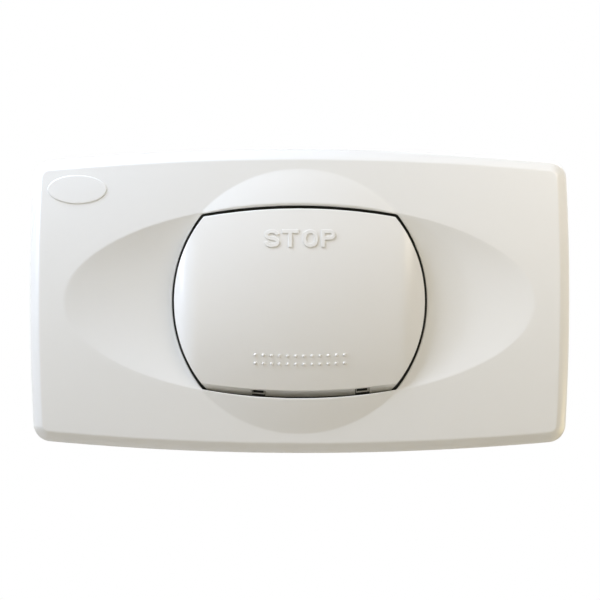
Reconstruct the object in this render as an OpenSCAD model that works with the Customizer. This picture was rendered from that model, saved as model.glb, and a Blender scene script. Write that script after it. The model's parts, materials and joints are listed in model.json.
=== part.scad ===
// Flush plate with one rocker key: moulded cover, cushion key on an axle, two push rods and a wall frame.
// Lengths in millimetres. X is right, Z is up, the front faces -Y and the wall is the plane Y = 0.
// Shapes are drawn lying down, with height measured from the wall, and front() stands them up.

/* [Cover plate] */
// Width across the middle of the plate
plate_w = 270; // [250:1:300]
// Height across the middle of the plate
plate_h = 152; // [148:1:170]
// Bulge of the top and bottom edges from corner to middle
edge_rise = 6.6; // [4:0.1:9]
// Bulge of the left and right edges from corner to middle
side_rise = 2.6; // [1.5:0.1:4]
// Radius of the plate's corners
corner_r = 9.2; // [7:0.1:12]
// Height of the flat front face above the wall
field_h = 14; // [13:0.1:17]
// Radius of the rolled rim
rim_r = 10; // [8:0.1:12]
// Width of the rolled rim seen from the front
rim_w = 5.5; // [4:0.1:7]
// Wall of the moulded cover
wall_t = 2.5; // [1.8:0.1:3]
// Depth of the oval dish at its middle
dish_depth = 9; // [7:0.1:9.5]
// Margin between the dish and the plate's sides
dish_margin = 18; // [14:0.5:24]
// Rise of the round bulge at its middle
dome_rise = 7.7; // [6:0.1:9]
// Width of the bare oval badge pad
badge_w = 29.4; // [20:0.2:36]
// Height of the bare oval badge pad
badge_h = 14.2; // [10:0.1:18]
// How far the badge pad stands proud
badge_rise = 0.35; // [0.3:0.05:0.8]
// Badge pad centre, in from the left edge
badge_inset = 24.2; // [22:0.2:34]
// Badge pad centre, down from the top edge
badge_drop = 20.5; // [18:0.5:24]

/* [Key opening] */
// Width of the opening across its middle
open_w = 127.6; // [122:0.2:130]
// Height of the opening across its middle
open_h = 96; // [94:0.2:100]
// Radius of the opening's top and bottom edges
open_edge_r = 280; // [240:5:320]
// Radius of the opening's sides
open_side_r = 69.5; // [66:0.5:76]
// How far the cover's rolled edge comes in at the top of the opening
lip_in = 1; // [0.6:0.1:1.1]
// Land between the opening's corners and the point where dish and bulge meet
corner_land = 0.6; // [0.4:0.1:1.5]

/* [Rocker key] */
// Gap between the key and the opening at the top
gap_top = 1.05; // [0.95:0.05:1.6]
// Gap between the key and the opening at the sides
gap_side = 1.05; // [0.8:0.05:1.6]
// Gap between the key's front edge and the opening at the bottom
gap_bottom = 3.5; // [3.2:0.05:4]
// Gap between the key's skirt and the opening at the bottom
gap_skirt = 0.6; // [0.5:0.05:1]
// Height of the key's middle above the wall
key_h = 21.5; // [21:0.1:23]
// Fall of the key's face from its middle to its top edge
key_fall_v = 3.9; // [3:0.1:4.4]
// Fall of the key's face from its middle to the side creases
key_fall_side = 3.2; // [2.4:0.1:3.6]
// Distance of the side creases from the key's middle
crease_x = 51.5; // [50:0.5:54]
// Slope of the key's rolled sides where they start
crease_slope = 12; // [8:0.5:16]
// Height of the key's side edges above the wall
key_side_h = 11; // [10:0.1:12.5]
// Height of the lower end of the bevel
bevel_h = 10.5; // [9.5:0.1:11]
// Wall of the key
key_t = 2.2; // [1.8:0.1:2.4]
// Height of the key's back edge above the wall, at the axle
key_back_h = 4.2; // [4:0.1:5]
// Number of tactile dots in a row
dot_count = 12; // [6:1:14]
// Distance between the tactile dots along a row
dot_pitch = 4.05; // [3.6:0.05:4.4]
// Distance between the two rows of dots
dot_row_gap = 4.15; // [3.6:0.05:5]
// Distance of the upper row of dots below the axle
dot_drop = 26.9; // [25:0.1:30]
// Radius of the curve that the rows of dots follow
dot_row_r = 260; // [180:5:300]
// Radius of the ball that forms a dot
dot_r = 0.95; // [0.9:0.05:1.2]
// How far a dot stands proud
dot_rise = 0.55; // [0.3:0.05:0.6]

/* [Hinge] */
// Angle of the key when its lower half is pressed in
flush_angle = 8; // [6:0.5:8]
// Angle of the key when its upper half is pressed in
stop_angle = 6; // [4:0.5:6]
// Height of the hinge axle above the wall
axle_h = 10; // [9.8:0.1:10.4]
// Diameter of the hinge axle
axle_d = 5; // [4:0.1:5]
// Wall of the axle's bushes
bush_t = 1.2; // [1:0.1:1.4]
// Thickness of the bushes' flanges
flange_t = 0.8; // [0.6:0.1:1.2]
// Wall around the bushes in the frame's posts
post_t = 1.3; // [1:0.1:1.5]
// Thickness of the frame's posts along the axle
post_w = 6; // [5:0.5:7]
// Distance from the middle to the posts' inner faces
post_x = 40; // [38:0.5:42]
// Thickness of the retaining rings
ring_t = 1; // [0.8:0.1:1.2]
// Depth of the grooves that hold retaining rings
ring_groove = 0.5; // [0.4:0.05:0.6]
// Outer diameter of the axle's retaining rings
ring_d = 8; // [7.5:0.1:9]

/* [Key carrier] */
// Thickness of the carrier plate
carrier_t = 2; // [1.6:0.1:2.2]
// Height of the carrier plate's back above the wall
carrier_back_h = 12.7; // [12.6:0.1:13]
// Half height of the carrier plate
carrier_v = 30; // [28:0.5:31]
// Thickness of the carrier's axle lugs
lug_w = 6; // [5:0.5:7]
// Distance from the middle to the lugs' outer faces
lug_x = 36; // [35:0.5:37]
// Wall of the carrier's lugs around the axle
lug_t = 2; // [1.6:0.1:2.2]
// Width of the latch tongues
tongue_w = 5.6; // [4:0.1:6.5]
// Thickness of the latch tongues
tongue_t = 2.1; // [1.8:0.1:2.4]
// Height of the latch tongues' back above the wall
tongue_back_h = 12.4; // [12.2:0.1:12.5]
// Place of the left latch tongue
tongue_left_x = -20.3; // [-30:0.1:-14]
// Place of the right latch tongue
tongue_right_x = 31.3; // [14:0.1:32]
// Gap around the tongues in the key's windows
window_gap = 1.2; // [1.15:0.05:1.3]
// Diameter of the key's inner posts
key_post_d = 6; // [5:0.1:8]
// Diameter of the pins that locate the carrier
key_pin_d = 3; // [2.5:0.1:4]
// Places of the key's inner posts, across
key_post_x = 20; // [17:0.5:22]
// Places of the key's inner posts, up and down
key_post_v = 18; // [14:0.5:20]
// Diameter of the pusher pads
pad_d = 12; // [10:0.5:14]
// Thickness of the pusher pads
pad_t = 2; // [1.5:0.1:2.2]

/* [Push rods] */
// Distance of the push rods above and below the axle
rod_v = 25; // [23:0.5:26]
// Diameter of the plungers' heads
head_d = 12; // [11:0.1:14]
// Thickness of the plungers' heads at the edge
head_t = 0.8; // [0.6:0.1:1]
// Ball radius of the plungers' domed heads
head_ball_r = 14; // [12:0.5:20]
// Diameter of the plungers' stems
stem_d = 8; // [7.6:0.1:8.2]
// Length of the stems behind their retaining rings
stem_land = 1.5; // [1:0.1:6]
// Wall of the rod bushes
rod_bush_t = 2; // [1.5:0.1:2.5]
// Length of the rod bushes behind the bridge's front
rod_bush_l = 14; // [12:0.5:14.5]
// Diameter of the rod bushes' flanges
rod_flange_d = 16; // [15.5:0.1:18]
// Thickness of the rod bushes' flanges
rod_flange_t = 1.5; // [1:0.1:1.6]
// Outer diameter of the stems' retaining rings
stem_ring_d = 12; // [11:0.1:14]
// Diameter of the threaded spindles
spindle_d = 6; // [5:0.1:6]
// Depth of the spindles' thread in the plungers
spindle_hold = 11; // [8:0.5:13]
// Length of the spindles behind the plungers
spindle_l = 42; // [36:1:60]
// Width of the lock nuts across flats
lock_nut_w = 10; // [9:0.1:12]
// Thickness of the lock nuts
lock_nut_t = 4; // [3:0.1:5]
// Diameter of the spindle tips
tip_d = 11; // [9:0.1:13]
// Length of the spindle tips
tip_l = 14; // [12:0.5:18]
// Depth of the spindle's hole in its tip
tip_hold = 9; // [7:0.5:10]

/* [Springs] */
// Diameter of the spring wire
wire_d = 0.9; // [0.7:0.05:0.95]
// Mean diameter of the springs' coils
coil_d = 10.4; // [10.2:0.1:10.8]
// Number of curls in each spring
curls = 3.5; // [2:0.5:3.5]

/* [Mounting frame] */
// Thickness of the frame plate
frame_t = 3; // [2.5:0.1:3.2]
// Margin between the plate's edge and the frame
frame_margin = 14; // [12:0.5:16]
// Radius of the frame's corners
frame_corner = 8; // [5:0.5:12]
// Width of the frame's window
window_w = 44; // [42:0.5:46]
// Height of the frame's window
window_h = 72; // [70:0.5:74]
// Height of the frame's stiffening edge
frame_edge_h = 2.5; // [1.5:0.1:4]
// Width of the frame's stiffening edge
frame_edge_w = 2; // [1.5:0.1:3]
// Diameter of the pegs that hold the cover
peg_d = 5; // [4:0.1:6]
// Length of the pegs that hold the cover
peg_l = 6; // [4:0.5:7]
// Wall of the cover's sockets
socket_t = 2; // [1.5:0.1:3]
// Distance of the pegs in from the frame's ends
peg_inset = 20; // [18:0.5:24]
// Distance of the pegs in from the frame's top and bottom
peg_drop = 14; // [12:0.5:16]
// Diameter of the rubber end stops
buffer_d = 7; // [6:0.1:8]
// Place of the end stops, across
buffer_x = 29; // [27.5:0.5:30]
// Place of the end stops, up and down
buffer_v = 25; // [24:0.5:26]

/* [Guide bridge] */
// Thickness of the guide bridge
bridge_t = 3; // [2.5:0.1:4]
// How far the bridge laps over the window's sides
bridge_lap = 10; // [9.5:0.1:14]
// Width of the bridge's middle opening
bridge_hole_w = 28; // [20:0.5:32]
// Height of the bridge's middle opening
bridge_hole_h = 24; // [16:0.5:26]
// Diameter of the bridge screws' shanks
screw_d = 3.4; // [2.5:0.1:3.6]
// Diameter of the bridge screws' heads
screw_head_d = 7; // [6:0.1:8]
// Thickness of the bridge screws' heads
screw_head_t = 2.2; // [1.6:0.1:3]
// Width of the screws' drive sockets across corners
screw_drive_d = 3; // [2:0.1:3.6]

/* [Wall fixing] */
// Distance of the fixing studs in from the plate's sides
stud_inset = 27; // [25:0.5:30]
// Diameter of the fixing studs in the wall
stud_d = 6; // [5.5:0.1:7]
// Diameter of the studs' front ends
stud_end_d = 5; // [4:0.1:5.2]
// Length of the fixing studs behind the wall
stud_back = 55; // [40:1:80]
// Length of the slots that the studs pass through
stud_slot_l = 11; // [9:0.5:13]
// Width of the stud slots
stud_slot_w = 6; // [5.6:0.1:7.5]
// Diameter of the stud washers
washer_d = 17; // [15:0.5:20]
// Thickness of the stud washers
washer_t = 1.2; // [1:0.1:1.4]
// Width of the stud nuts across flats
stud_nut_w = 8; // [8:0.1:10]
// Thickness of the stud nuts
stud_nut_t = 4; // [3:0.1:4.2]
// How far the studs stand past their nuts
stud_proud = 0.6; // [0.4:0.1:0.8]

/* [Clearances] */
// Radial clearance of turning and sliding fits
run_gap = 0.05; // [0.03:0.01:0.08]
// Radial clearance of pieces that are pushed together
push_gap = 0.03; // [0.02:0.01:0.05]
// Gap between pieces of different bodies that meet at rest or at a limit
rest_gap = 0.3; // [0.25:0.05:0.4]
// Gap between the springs and their seats
seat_gap = 0.05; // [0.03:0.01:0.1]

/* [Hidden] */

// Finish colours
cover_white = [0.90, 0.90, 0.89];
key_white = [0.88, 0.87, 0.85];
frame_dark = [0.16, 0.165, 0.17];
guide_white = [0.80, 0.81, 0.80];
steel_grey = [0.72, 0.73, 0.74];
brass_tone = [0.78, 0.66, 0.38];
rubber_dark = [0.16, 0.16, 0.17];

// Fineness of large sweeps, round pieces and small rounds
fine = 256;
round_fn = 64;
small_fn = 32;
hex_fn = 6;
// Share of a retaining ring's hole that its open side is wide
ring_mouth = 0.8;
// Overlap that joins solids and clears cuts
lap = 1;
// Reach of cutting blocks past the plate
reach = 200;

function arc_radius(half, rise) = (half * half + rise * rise) / (2 * rise);
function arc_fall(radius, half) = radius - sqrt(radius * radius - half * half);

// Upper right crossing of two circles, the first centred below and the second to the left
function circle_meet(c1, r1, c2, r2) =
    let (
        span = norm(c2 - c1),
        u = (c2 - c1) / span,
        along = (r1 * r1 - r2 * r2 + span * span) / (2 * span),
        across = sqrt(r1 * r1 - along * along)
    )
    c1 + along * u + across * [u[1], -u[0]];

// Plate outline
edge_r = arc_radius(plate_w / 2, edge_rise);
side_r = arc_radius(plate_h / 2, side_rise);
edge_c = [0, plate_h / 2 - edge_r];
side_c = [plate_w / 2 - side_r, 0];
// The corner discs cross the edges at a slight angle
corner_turn = 12;
corner_in = corner_r * cos(corner_turn);
corner_c = circle_meet(edge_c, edge_r - corner_in, side_c, side_r - corner_in);
rim_c_h = field_h - sqrt(rim_r * rim_r - (rim_r - rim_w) * (rim_r - rim_w));

// Key opening and the two forms that run through its corners
open_edge_c = [0, open_h / 2 - open_edge_r];
open_side_c = [open_w / 2 - open_side_r, 0];
open_corner = circle_meet(open_edge_c, open_edge_r, open_side_c, open_side_r);
form_corner = open_corner + corner_land * open_corner / norm(open_corner);
dome_r = norm(form_corner);
dome_ball_r = arc_radius(dome_r, dome_rise);
dome_ball_h = field_h + dome_rise - dome_ball_r;
dish_half_w = plate_w / 2 - dish_margin;
dish_half_h = form_corner[1] / sqrt(1 - pow(form_corner[0] / dish_half_w, 2));
dish_sweep_r = arc_radius(dish_half_h, dish_depth);
dish_arc_r = arc_radius(dish_half_w, dish_depth);
dish_axis_h = field_h + dish_sweep_r - dish_depth;

// Key surfaces
key_top = open_h / 2 - lip_in - gap_top;
key_bottom = open_h / 2 - gap_bottom;
key_skirt = open_h / 2 - gap_skirt;
key_side = open_w / 2 - gap_side;
key_side_r = open_side_r - gap_side;
key_sweep_r = arc_radius(key_top, key_fall_v);
key_axis_h = key_h - key_sweep_r;
key_arc_r = arc_radius(crease_x, key_fall_side);
crease_h = key_h - key_fall_side;
side_step = [key_side - crease_x, key_side_h - crease_h];
crease_normal = [-sin(crease_slope), -cos(crease_slope)];
key_roll_r = (side_step * side_step) / (2 * side_step * crease_normal);
key_roll_c = [crease_x, crease_h] + key_roll_r * crease_normal;
key_bottom_h = key_axis_h + sqrt(key_sweep_r * key_sweep_r - key_bottom * key_bottom);
bevel_run = (key_skirt - key_bottom) / (key_bottom_h - bevel_h);
back_slack = 0.5;

// Hinge and carrier
axle_r = axle_d / 2;
bush_r = axle_r + run_gap + bush_t;
post_r = bush_r + push_gap + post_t;
post_out_x = post_x + post_w;
ring_x = post_out_x + flange_t + rest_gap;
axle_end_x = ring_x + ring_t + lap;
lug_r = axle_r + push_gap + lug_t;
carrier_front_h = carrier_back_h + carrier_t;
pad_h = carrier_back_h - pad_t;

// Push rods, with heights from the wall
head_top_h = pad_h - rest_gap;
head_ball_h = head_top_h - head_ball_r;
head_edge_h = head_ball_h + sqrt(head_ball_r * head_ball_r - head_d * head_d / 4);
head_back_h = head_edge_h - head_t;
stem_r = stem_d / 2;
rod_bush_r = stem_r + run_gap + rod_bush_t;
rod_travel = rod_v * max(flush_angle, stop_angle) * PI / 180;
stem_ring_h = -rod_bush_l - rod_travel - rest_gap - ring_t;
stem_back = stem_land - stem_ring_h;
spindle_front_h = -stem_back + spindle_hold;
spindle_back_h = -stem_back - spindle_l;
tip_front_h = spindle_back_h + tip_hold;
tip_nose_r = tip_d / 4;

// Springs between the bush flanges and the plungers' heads
spring_low_h = rod_flange_t + seat_gap;
spring_high_h = head_back_h - seat_gap;
coil_r = coil_d / 2;
rings_per_curl = 8;
wire_sides = 6;

// Frame, bridge and wall fixing
frame_w = plate_w - 2 * frame_margin;
frame_h = plate_h - 2 * frame_margin;
peg_x = frame_w / 2 - peg_inset;
peg_v = frame_h / 2 - peg_drop;
bridge_w = window_w + 2 * bridge_lap;
bridge_h = window_h + 2 * bridge_lap;
screw_x = window_w / 2 + bridge_lap / 2;
screw_v = window_h / 2 + bridge_lap / 2;
screw_l = bridge_t + frame_t - rest_gap;
stud_x = plate_w / 2 - stud_inset;
washer_h = frame_t + washer_t;
stud_front_h = washer_h + stud_nut_t + stud_proud;

// Stands a shape that was drawn lying down up against the wall
module front() {
    rotate([90, 0, 0]) children();
}

// Copies at the four places (+-x, +-v)
module four_at(x, v) {
    for (sx = [-1, 1], sv = [-1, 1]) translate([sx * x, sv * v, 0]) children();
}

module rounded_rect(w, h, r) {
    square([w - 2 * r, h], center = true);
    square([w, h - 2 * r], center = true);
    for (sx = [-1, 1], sv = [-1, 1])
        translate([sx * (w / 2 - r), sv * (h / 2 - r)]) circle(r, $fn = round_fn);
}

// Turns a profile of radius and length about an axis along X at the given height
module about_x(height) {
    translate([0, 0, height]) rotate([0, 90, 0]) rotate_extrude($fn = fine) children();
}

// Half section of a disc whose edge is the rolled rim, drawn in by inset
module rim_section(radius, inset, low) {
    roll = rim_r - inset;
    top = rim_c_h + rim_r + lap;
    translate([0, low]) square([radius - inset, rim_c_h - low]);
    translate([0, low]) square([radius - rim_r, top - low]);
    translate([radius - rim_r, rim_c_h]) circle(roll, $fn = round_fn);
}

module rim_disc(centre, radius, inset, low) {
    translate([centre[0], centre[1], 0])
        rotate_extrude($fn = fine)
            intersection() {
                rim_section(radius, inset, low);
                translate([0, low]) square([radius, reach]);
            }
}

module corner_cut(inset, low) {
    difference() {
        translate([corner_c[0], corner_c[1], low - lap]) cube([reach, reach, reach]);
        rim_disc(corner_c, corner_r, inset, low - 2 * lap);
    }
}

module dish(inset) {
    about_x(dish_axis_h)
        intersection() {
            translate([dish_sweep_r - dish_arc_r, 0]) circle(dish_arc_r + inset, $fn = fine);
            translate([0, -reach]) square([dish_sweep_r + inset + lap, 2 * reach]);
        }
}

// The round bulge, kept only above and below the key opening
module dome(inset, low) {
    intersection() {
        translate([0, 0, dome_ball_h]) sphere(dome_ball_r - inset, $fn = fine);
        translate([0, 0, low]) cylinder(h = reach, r = dome_r + lap, $fn = fine);
        translate([-form_corner[0], -reach, low]) cube([2 * form_corner[0], 2 * reach, reach]);
    }
}

// The cover's outer form, or its hollow when drawn in by the wall
module cover_form(inset, low) {
    difference() {
        intersection() {
            edge_body(inset, low);
            translate([-reach, -reach, low]) cube([2 * reach, 2 * reach, field_h - inset - low]);
        }
        for (sx = [0, 1], sv = [0, 1])
            mirror([sx, 0, 0]) mirror([0, sv, 0]) corner_cut(inset, low);
        dish(inset);
    }
    dome(inset, low);
}

// Body between the four bulging edges
module edge_body(inset, low) {
    intersection() {
        rim_disc(edge_c, edge_r, inset, low);
        rim_disc(-edge_c, edge_r, inset, low);
        rim_disc(side_c, side_r, inset, low);
        rim_disc(-side_c, side_r, inset, low);
    }
}

module key_opening() {
    linear_extrude(reach)
        intersection() {
            translate(open_edge_c - [0, lip_in]) circle(open_edge_r, $fn = fine);
            translate(-open_edge_c) circle(open_edge_r, $fn = fine);
            translate(open_side_c) circle(open_side_r, $fn = fine);
            translate(-open_side_c) circle(open_side_r, $fn = fine);
        }
}

module badge_pad() {
    translate([badge_inset - plate_w / 2, plate_h / 2 - badge_drop, field_h - wall_t / 2])
        linear_extrude(wall_t / 2 + badge_rise)
            polygon([for (i = [0 : round_fn - 1])
                let (turn = 360 * i / round_fn) [badge_w / 2 * cos(turn), badge_h / 2 * sin(turn)]]);
}

module cover_plate() {
    color(cover_white) front() {
        difference() {
            cover_form(0, 0);
            cover_form(wall_t, -lap);
            key_opening();
        }
        badge_pad();
        four_at(peg_x, peg_v) cover_socket();
    }
}

// Socket on the cover's back that takes a peg of the frame
module cover_socket() {
    hole_d = peg_d + 2 * push_gap;
    difference() {
        translate([0, 0, frame_t])
            cylinder(h = field_h - frame_t - wall_t / 2, d = hole_d + 2 * socket_t, $fn = round_fn);
        translate([0, 0, frame_t - lap])
            cylinder(h = peg_l + 2 * lap, d = hole_d, $fn = round_fn);
    }
}

// Half section of the key along X, drawn in by inset: a crowned middle and two rolled sides
module key_section(inset) {
    low = -lap;
    deep = key_h + 2 * lap;
    wide = key_roll_c[0] + key_roll_r - inset;
    translate([key_sweep_r - key_h, 0]) {
        intersection() {
            translate([key_h - key_arc_r, 0]) circle(key_arc_r - inset, $fn = fine);
            translate([low, -crease_x]) square([deep, 2 * crease_x]);
        }
        for (side = [-1, 1]) {
            intersection() {
                translate([key_roll_c[1], side * key_roll_c[0]]) circle(key_roll_r - inset, $fn = fine);
                translate([low, side > 0 ? crease_x : -wide]) square([deep, wide - crease_x]);
            }
            translate([low, side > 0 ? crease_x : -wide]) square([key_roll_c[1] - low, wide - crease_x]);
        }
    }
}

// Disc whose edge is the key's lower bevel and skirt
module bevel_disc(inset) {
    top_h = key_h + lap;
    skirt_r = open_edge_r + key_skirt - key_bottom - inset;
    top_r = skirt_r - bevel_run * (top_h - bevel_h);
    translate([0, open_edge_r - key_bottom, 0])
        rotate_extrude($fn = fine)
            polygon([[0, -lap], [skirt_r, -lap], [skirt_r, bevel_h], [top_r, top_h], [0, top_h]]);
}

// The key's outer form, or its hollow when drawn in by the wall
module key_form(inset) {
    intersection() {
        about_x(key_axis_h) key_section(inset);
        translate([0, key_top - open_edge_r, -lap])
            cylinder(h = key_h + 2 * lap, r = open_edge_r - inset, $fn = fine);
        bevel_disc(inset);
        key_flank(inset);
        mirror([1, 0, 0]) key_flank(inset);
    }
}

module key_flank(inset) {
    translate([key_side - key_side_r, 0, -lap])
        cylinder(h = key_h + 2 * lap, r = key_side_r - inset, $fn = fine);
}

// Height of the key's face at a point of its middle part
function key_face_h(x, v) =
    key_axis_h + sqrt(pow(key_sweep_r - arc_fall(key_arc_r, x), 2) - v * v);

// Two rows of ball-shaped dots that follow the key's lower edge
module tactile_dots() {
    for (row = [0, 1], i = [0 : dot_count - 1]) {
        x = (i - (dot_count - 1) / 2) * dot_pitch;
        v = -dot_drop - row * dot_row_gap + arc_fall(dot_row_r, x);
        translate([x, v, key_face_h(x, v) + dot_rise - dot_r]) sphere(dot_r, $fn = small_fn);
    }
}

// What lies behind the key's back edges, which slope away so that the key can rock
module behind_key() {
    for (side = [0, 1])
        mirror([0, side, 0])
            translate([0, 0, key_back_h])
                rotate([flush_angle + back_slack, 0, 0])
                    translate([-reach, -lap, -reach]) cube([2 * reach, reach, reach]);
}

// Windows in the key's lower bevel that take the carrier's latch tongues
module latch_windows() {
    for (x = [tongue_left_x, tongue_right_x])
        translate([x - tongue_w / 2 - window_gap / 2, -key_skirt - lap, tongue_back_h - window_gap])
            cube([tongue_w + window_gap, key_t + gap_bottom + lap, tongue_t + 2 * window_gap]);
}

// Posts inside the key that rest on the carrier, with pins through its holes
module key_posts() {
    intersection() {
        key_form(key_t / 2);
        four_at(key_post_x, key_post_v) {
            translate([0, 0, carrier_front_h]) cylinder(h = key_h, d = key_post_d, $fn = round_fn);
            translate([0, 0, carrier_back_h - lap])
                cylinder(h = carrier_t + 2 * lap, d = key_pin_d, $fn = round_fn);
        }
    }
}

module rocker_key() {
    color(key_white) front() {
        difference() {
            key_form(0);
            key_form(key_t);
            behind_key();
            latch_windows();
        }
        key_posts();
        tactile_dots();
    }
}

// Runs a round piece along the axle from x to x + length
module along_axle(x, length, d) {
    translate([x, 0, axle_h]) rotate([0, 90, 0]) cylinder(h = length, d = d, $fn = round_fn);
}

module key_carrier() {
    color(guide_white) front() {
        difference() {
            union() {
                translate([-lug_x, -carrier_v, carrier_back_h])
                    cube([2 * lug_x, 2 * carrier_v, carrier_t]);
                for (side = [-1, 1]) carrier_lug(side);
            }
            along_axle(-lug_x - lap, 2 * (lug_x + lap), axle_d + 2 * push_gap);
            four_at(key_post_x, key_post_v)
                cylinder(h = reach, d = key_pin_d + 2 * push_gap, $fn = round_fn);
        }
        for (x = [tongue_left_x, tongue_right_x]) latch_tongue(x);
    }
}

module carrier_lug(side) {
    start = side > 0 ? lug_x - lug_w : -lug_x;
    along_axle(start, lug_w, 2 * lug_r);
    translate([start, -lug_r, axle_h]) cube([lug_w, 2 * lug_r, carrier_back_h + carrier_t / 2 - axle_h]);
}

// Tongue from the carrier's lower edge that ends just inside the key's bevel
module latch_tongue(x) {
    intersection() {
        translate([x - tongue_w / 2, -open_h / 2, tongue_back_h])
            cube([tongue_w, open_h / 2 - carrier_v + lap, tongue_t]);
        bevel_disc(rest_gap);
    }
}

module hinge_axle() {
    color(steel_grey) front()
        difference() {
            along_axle(-axle_end_x, 2 * axle_end_x, axle_d);
            for (side = [-1, 1]) ring_place(side) ring_cut(axle_d);
        }
}

// Puts a ring that is centred on its own thickness at one end of the axle
module ring_place(side) {
    translate([side * (ring_x + ring_t / 2), 0, axle_h]) rotate([0, 90, 0]) children();
}

// Groove for a retaining ring in a round piece
module ring_cut(held_d) {
    retaining_ring(held_d + 2 * lap, held_d - 2 * ring_groove, ring_t + 2 * push_gap);
}

module retaining_ring(outer_d, inner_d, thickness) {
    difference() {
        cylinder(h = thickness, d = outer_d, center = true, $fn = round_fn);
        cylinder(h = thickness + 2 * lap, d = inner_d, center = true, $fn = round_fn);
    }
}

// Retaining ring with an open side, for a groove in a round piece
module open_ring(outer_d, held_d) {
    hole_d = held_d - 2 * ring_groove + 2 * push_gap;
    mouth = ring_mouth * hole_d;
    difference() {
        retaining_ring(outer_d, hole_d, ring_t);
        translate([0, -mouth / 2, -reach / 2]) cube([reach, mouth, reach]);
    }
}

module axle_clips() {
    color(steel_grey) front()
        for (side = [-1, 1]) ring_place(side) open_ring(ring_d, axle_d);
}

module axle_bush(side) {
    color(guide_white) front()
        mirror([side < 0 ? 1 : 0, 0, 0])
            difference() {
                union() {
                    along_axle(post_x, post_w, 2 * bush_r);
                    along_axle(post_out_x, flange_t, 2 * post_r);
                }
                along_axle(post_x - lap, post_w + flange_t + 2 * lap, axle_d + 2 * run_gap);
            }
}

module left_axle_bush() {
    axle_bush(-1);
}

module right_axle_bush() {
    axle_bush(1);
}

module pusher_pads() {
    color(rubber_dark) front()
        for (side = [-1, 1])
            translate([0, side * rod_v, pad_h]) cylinder(h = pad_t, d = pad_d, $fn = round_fn);
}

// Heights of the end stops, just short of the carrier's edge at each limit
function buffer_top(angle) =
    axle_h + (carrier_back_h - axle_h) / cos(angle) - carrier_v * tan(angle) - rest_gap;

module stop_buffers() {
    color(rubber_dark) front()
        for (sx = [-1, 1], limit = [[-1, flush_angle], [1, stop_angle]])
            translate([sx * buffer_x, limit[0] * buffer_v, frame_t])
                cylinder(h = buffer_top(limit[1]) - frame_t, d = buffer_d, $fn = round_fn);
}

// Plunger with a domed head, a grooved stem and a tapped back end
module plunger(v) {
    color(guide_white) front() translate([0, v, 0])
        difference() {
            union() {
                intersection() {
                    translate([0, 0, head_back_h]) cylinder(h = head_d, d = head_d, $fn = round_fn);
                    translate([0, 0, head_ball_h]) sphere(head_ball_r, $fn = fine);
                }
                translate([0, 0, -stem_back])
                    cylinder(h = stem_back + head_back_h + head_t / 2, d = stem_d, $fn = round_fn);
            }
            translate([0, 0, stem_ring_h + ring_t / 2]) ring_cut(stem_d);
            translate([0, 0, -stem_back - lap])
                cylinder(h = spindle_hold + 2 * lap, d = spindle_d + 2 * push_gap, $fn = round_fn);
        }
}

module stem_clip(v) {
    color(steel_grey) front()
        translate([0, v, stem_ring_h + ring_t / 2]) open_ring(stem_ring_d, stem_d);
}

module spindle(v) {
    color(brass_tone) front()
        translate([0, v, spindle_back_h])
            cylinder(h = spindle_front_h - spindle_back_h, d = spindle_d, $fn = round_fn);
}

module hex_nut(width, thickness, hole_d) {
    difference() {
        cylinder(h = thickness, d = width / cos(180 / hex_fn), $fn = hex_fn);
        translate([0, 0, -lap]) cylinder(h = thickness + 2 * lap, d = hole_d, $fn = round_fn);
    }
}

module lock_nut(v) {
    color(brass_tone) front()
        translate([0, v, -stem_back - lock_nut_t])
            hex_nut(lock_nut_w, lock_nut_t, spindle_d + 2 * push_gap);
}

// Cap on the spindle's back end with a rounded nose
module spindle_tip(v) {
    color(rubber_dark) front() translate([0, v, tip_front_h - tip_l])
        difference() {
            rotate_extrude($fn = round_fn) {
                translate([0, tip_nose_r]) square([tip_d / 2, tip_l - tip_nose_r]);
                square([tip_d / 2 - tip_nose_r, tip_l]);
                intersection() {
                    translate([tip_d / 2 - tip_nose_r, tip_nose_r]) circle(tip_nose_r, $fn = small_fn);
                    square([tip_d / 2, tip_l]);
                }
            }
            translate([0, 0, tip_l - tip_hold])
                cylinder(h = tip_hold + lap, d = spindle_d + 2 * push_gap, $fn = round_fn);
        }
}

// Flanged guide of a push rod
module rod_bush(v) {
    color(guide_white) front() translate([0, v, -rod_bush_l])
        difference() {
            union() {
                cylinder(h = rod_bush_l + rod_flange_t, r = rod_bush_r, $fn = round_fn);
                translate([0, 0, rod_bush_l]) cylinder(h = rod_flange_t, d = rod_flange_d, $fn = round_fn);
            }
            translate([0, 0, -lap])
                cylinder(h = rod_bush_l + rod_flange_t + 2 * lap, d = stem_d + 2 * run_gap, $fn = round_fn);
        }
}

// Wire path of a spring: straight ends square to the seats, with the curls between them
coil_low_h = spring_low_h + wire_d;
coil_high_h = spring_high_h - wire_d;
coil_steps = round(curls * rings_per_curl);
coil_points = [for (i = [0 : coil_steps])
    let (turn = 360 * i / rings_per_curl)
    [coil_r * cos(turn), coil_r * sin(turn), coil_low_h + (coil_high_h - coil_low_h) * i / coil_steps]];
wire_path = concat(
    [[coil_r, 0, spring_low_h]],
    coil_points,
    [[coil_points[coil_steps][0], coil_points[coil_steps][1], spring_high_h]]
);

function unit(a) = a / norm(a);

// Direction of the path at a point, square to the seats at both ends
function path_aim(path, i) =
    i == 0 || i == len(path) - 1
        ? [0, 0, 1]
        : unit(unit(path[i + 1] - path[i]) + unit(path[i] - path[i - 1]));

// One ring of points round the wire, kept square to the path's direction
function wire_ring(path, i) =
    let (
        aim = path_aim(path, i),
        out = unit([path[i][0], path[i][1], 0]),
        flat = unit(out - (out * aim) * aim),
        up = cross(aim, flat)
    )
    [for (k = [0 : wire_sides - 1])
        let (turn = 360 * k / wire_sides)
        path[i] + wire_d / 2 * (cos(turn) * flat + sin(turn) * up)];

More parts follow.
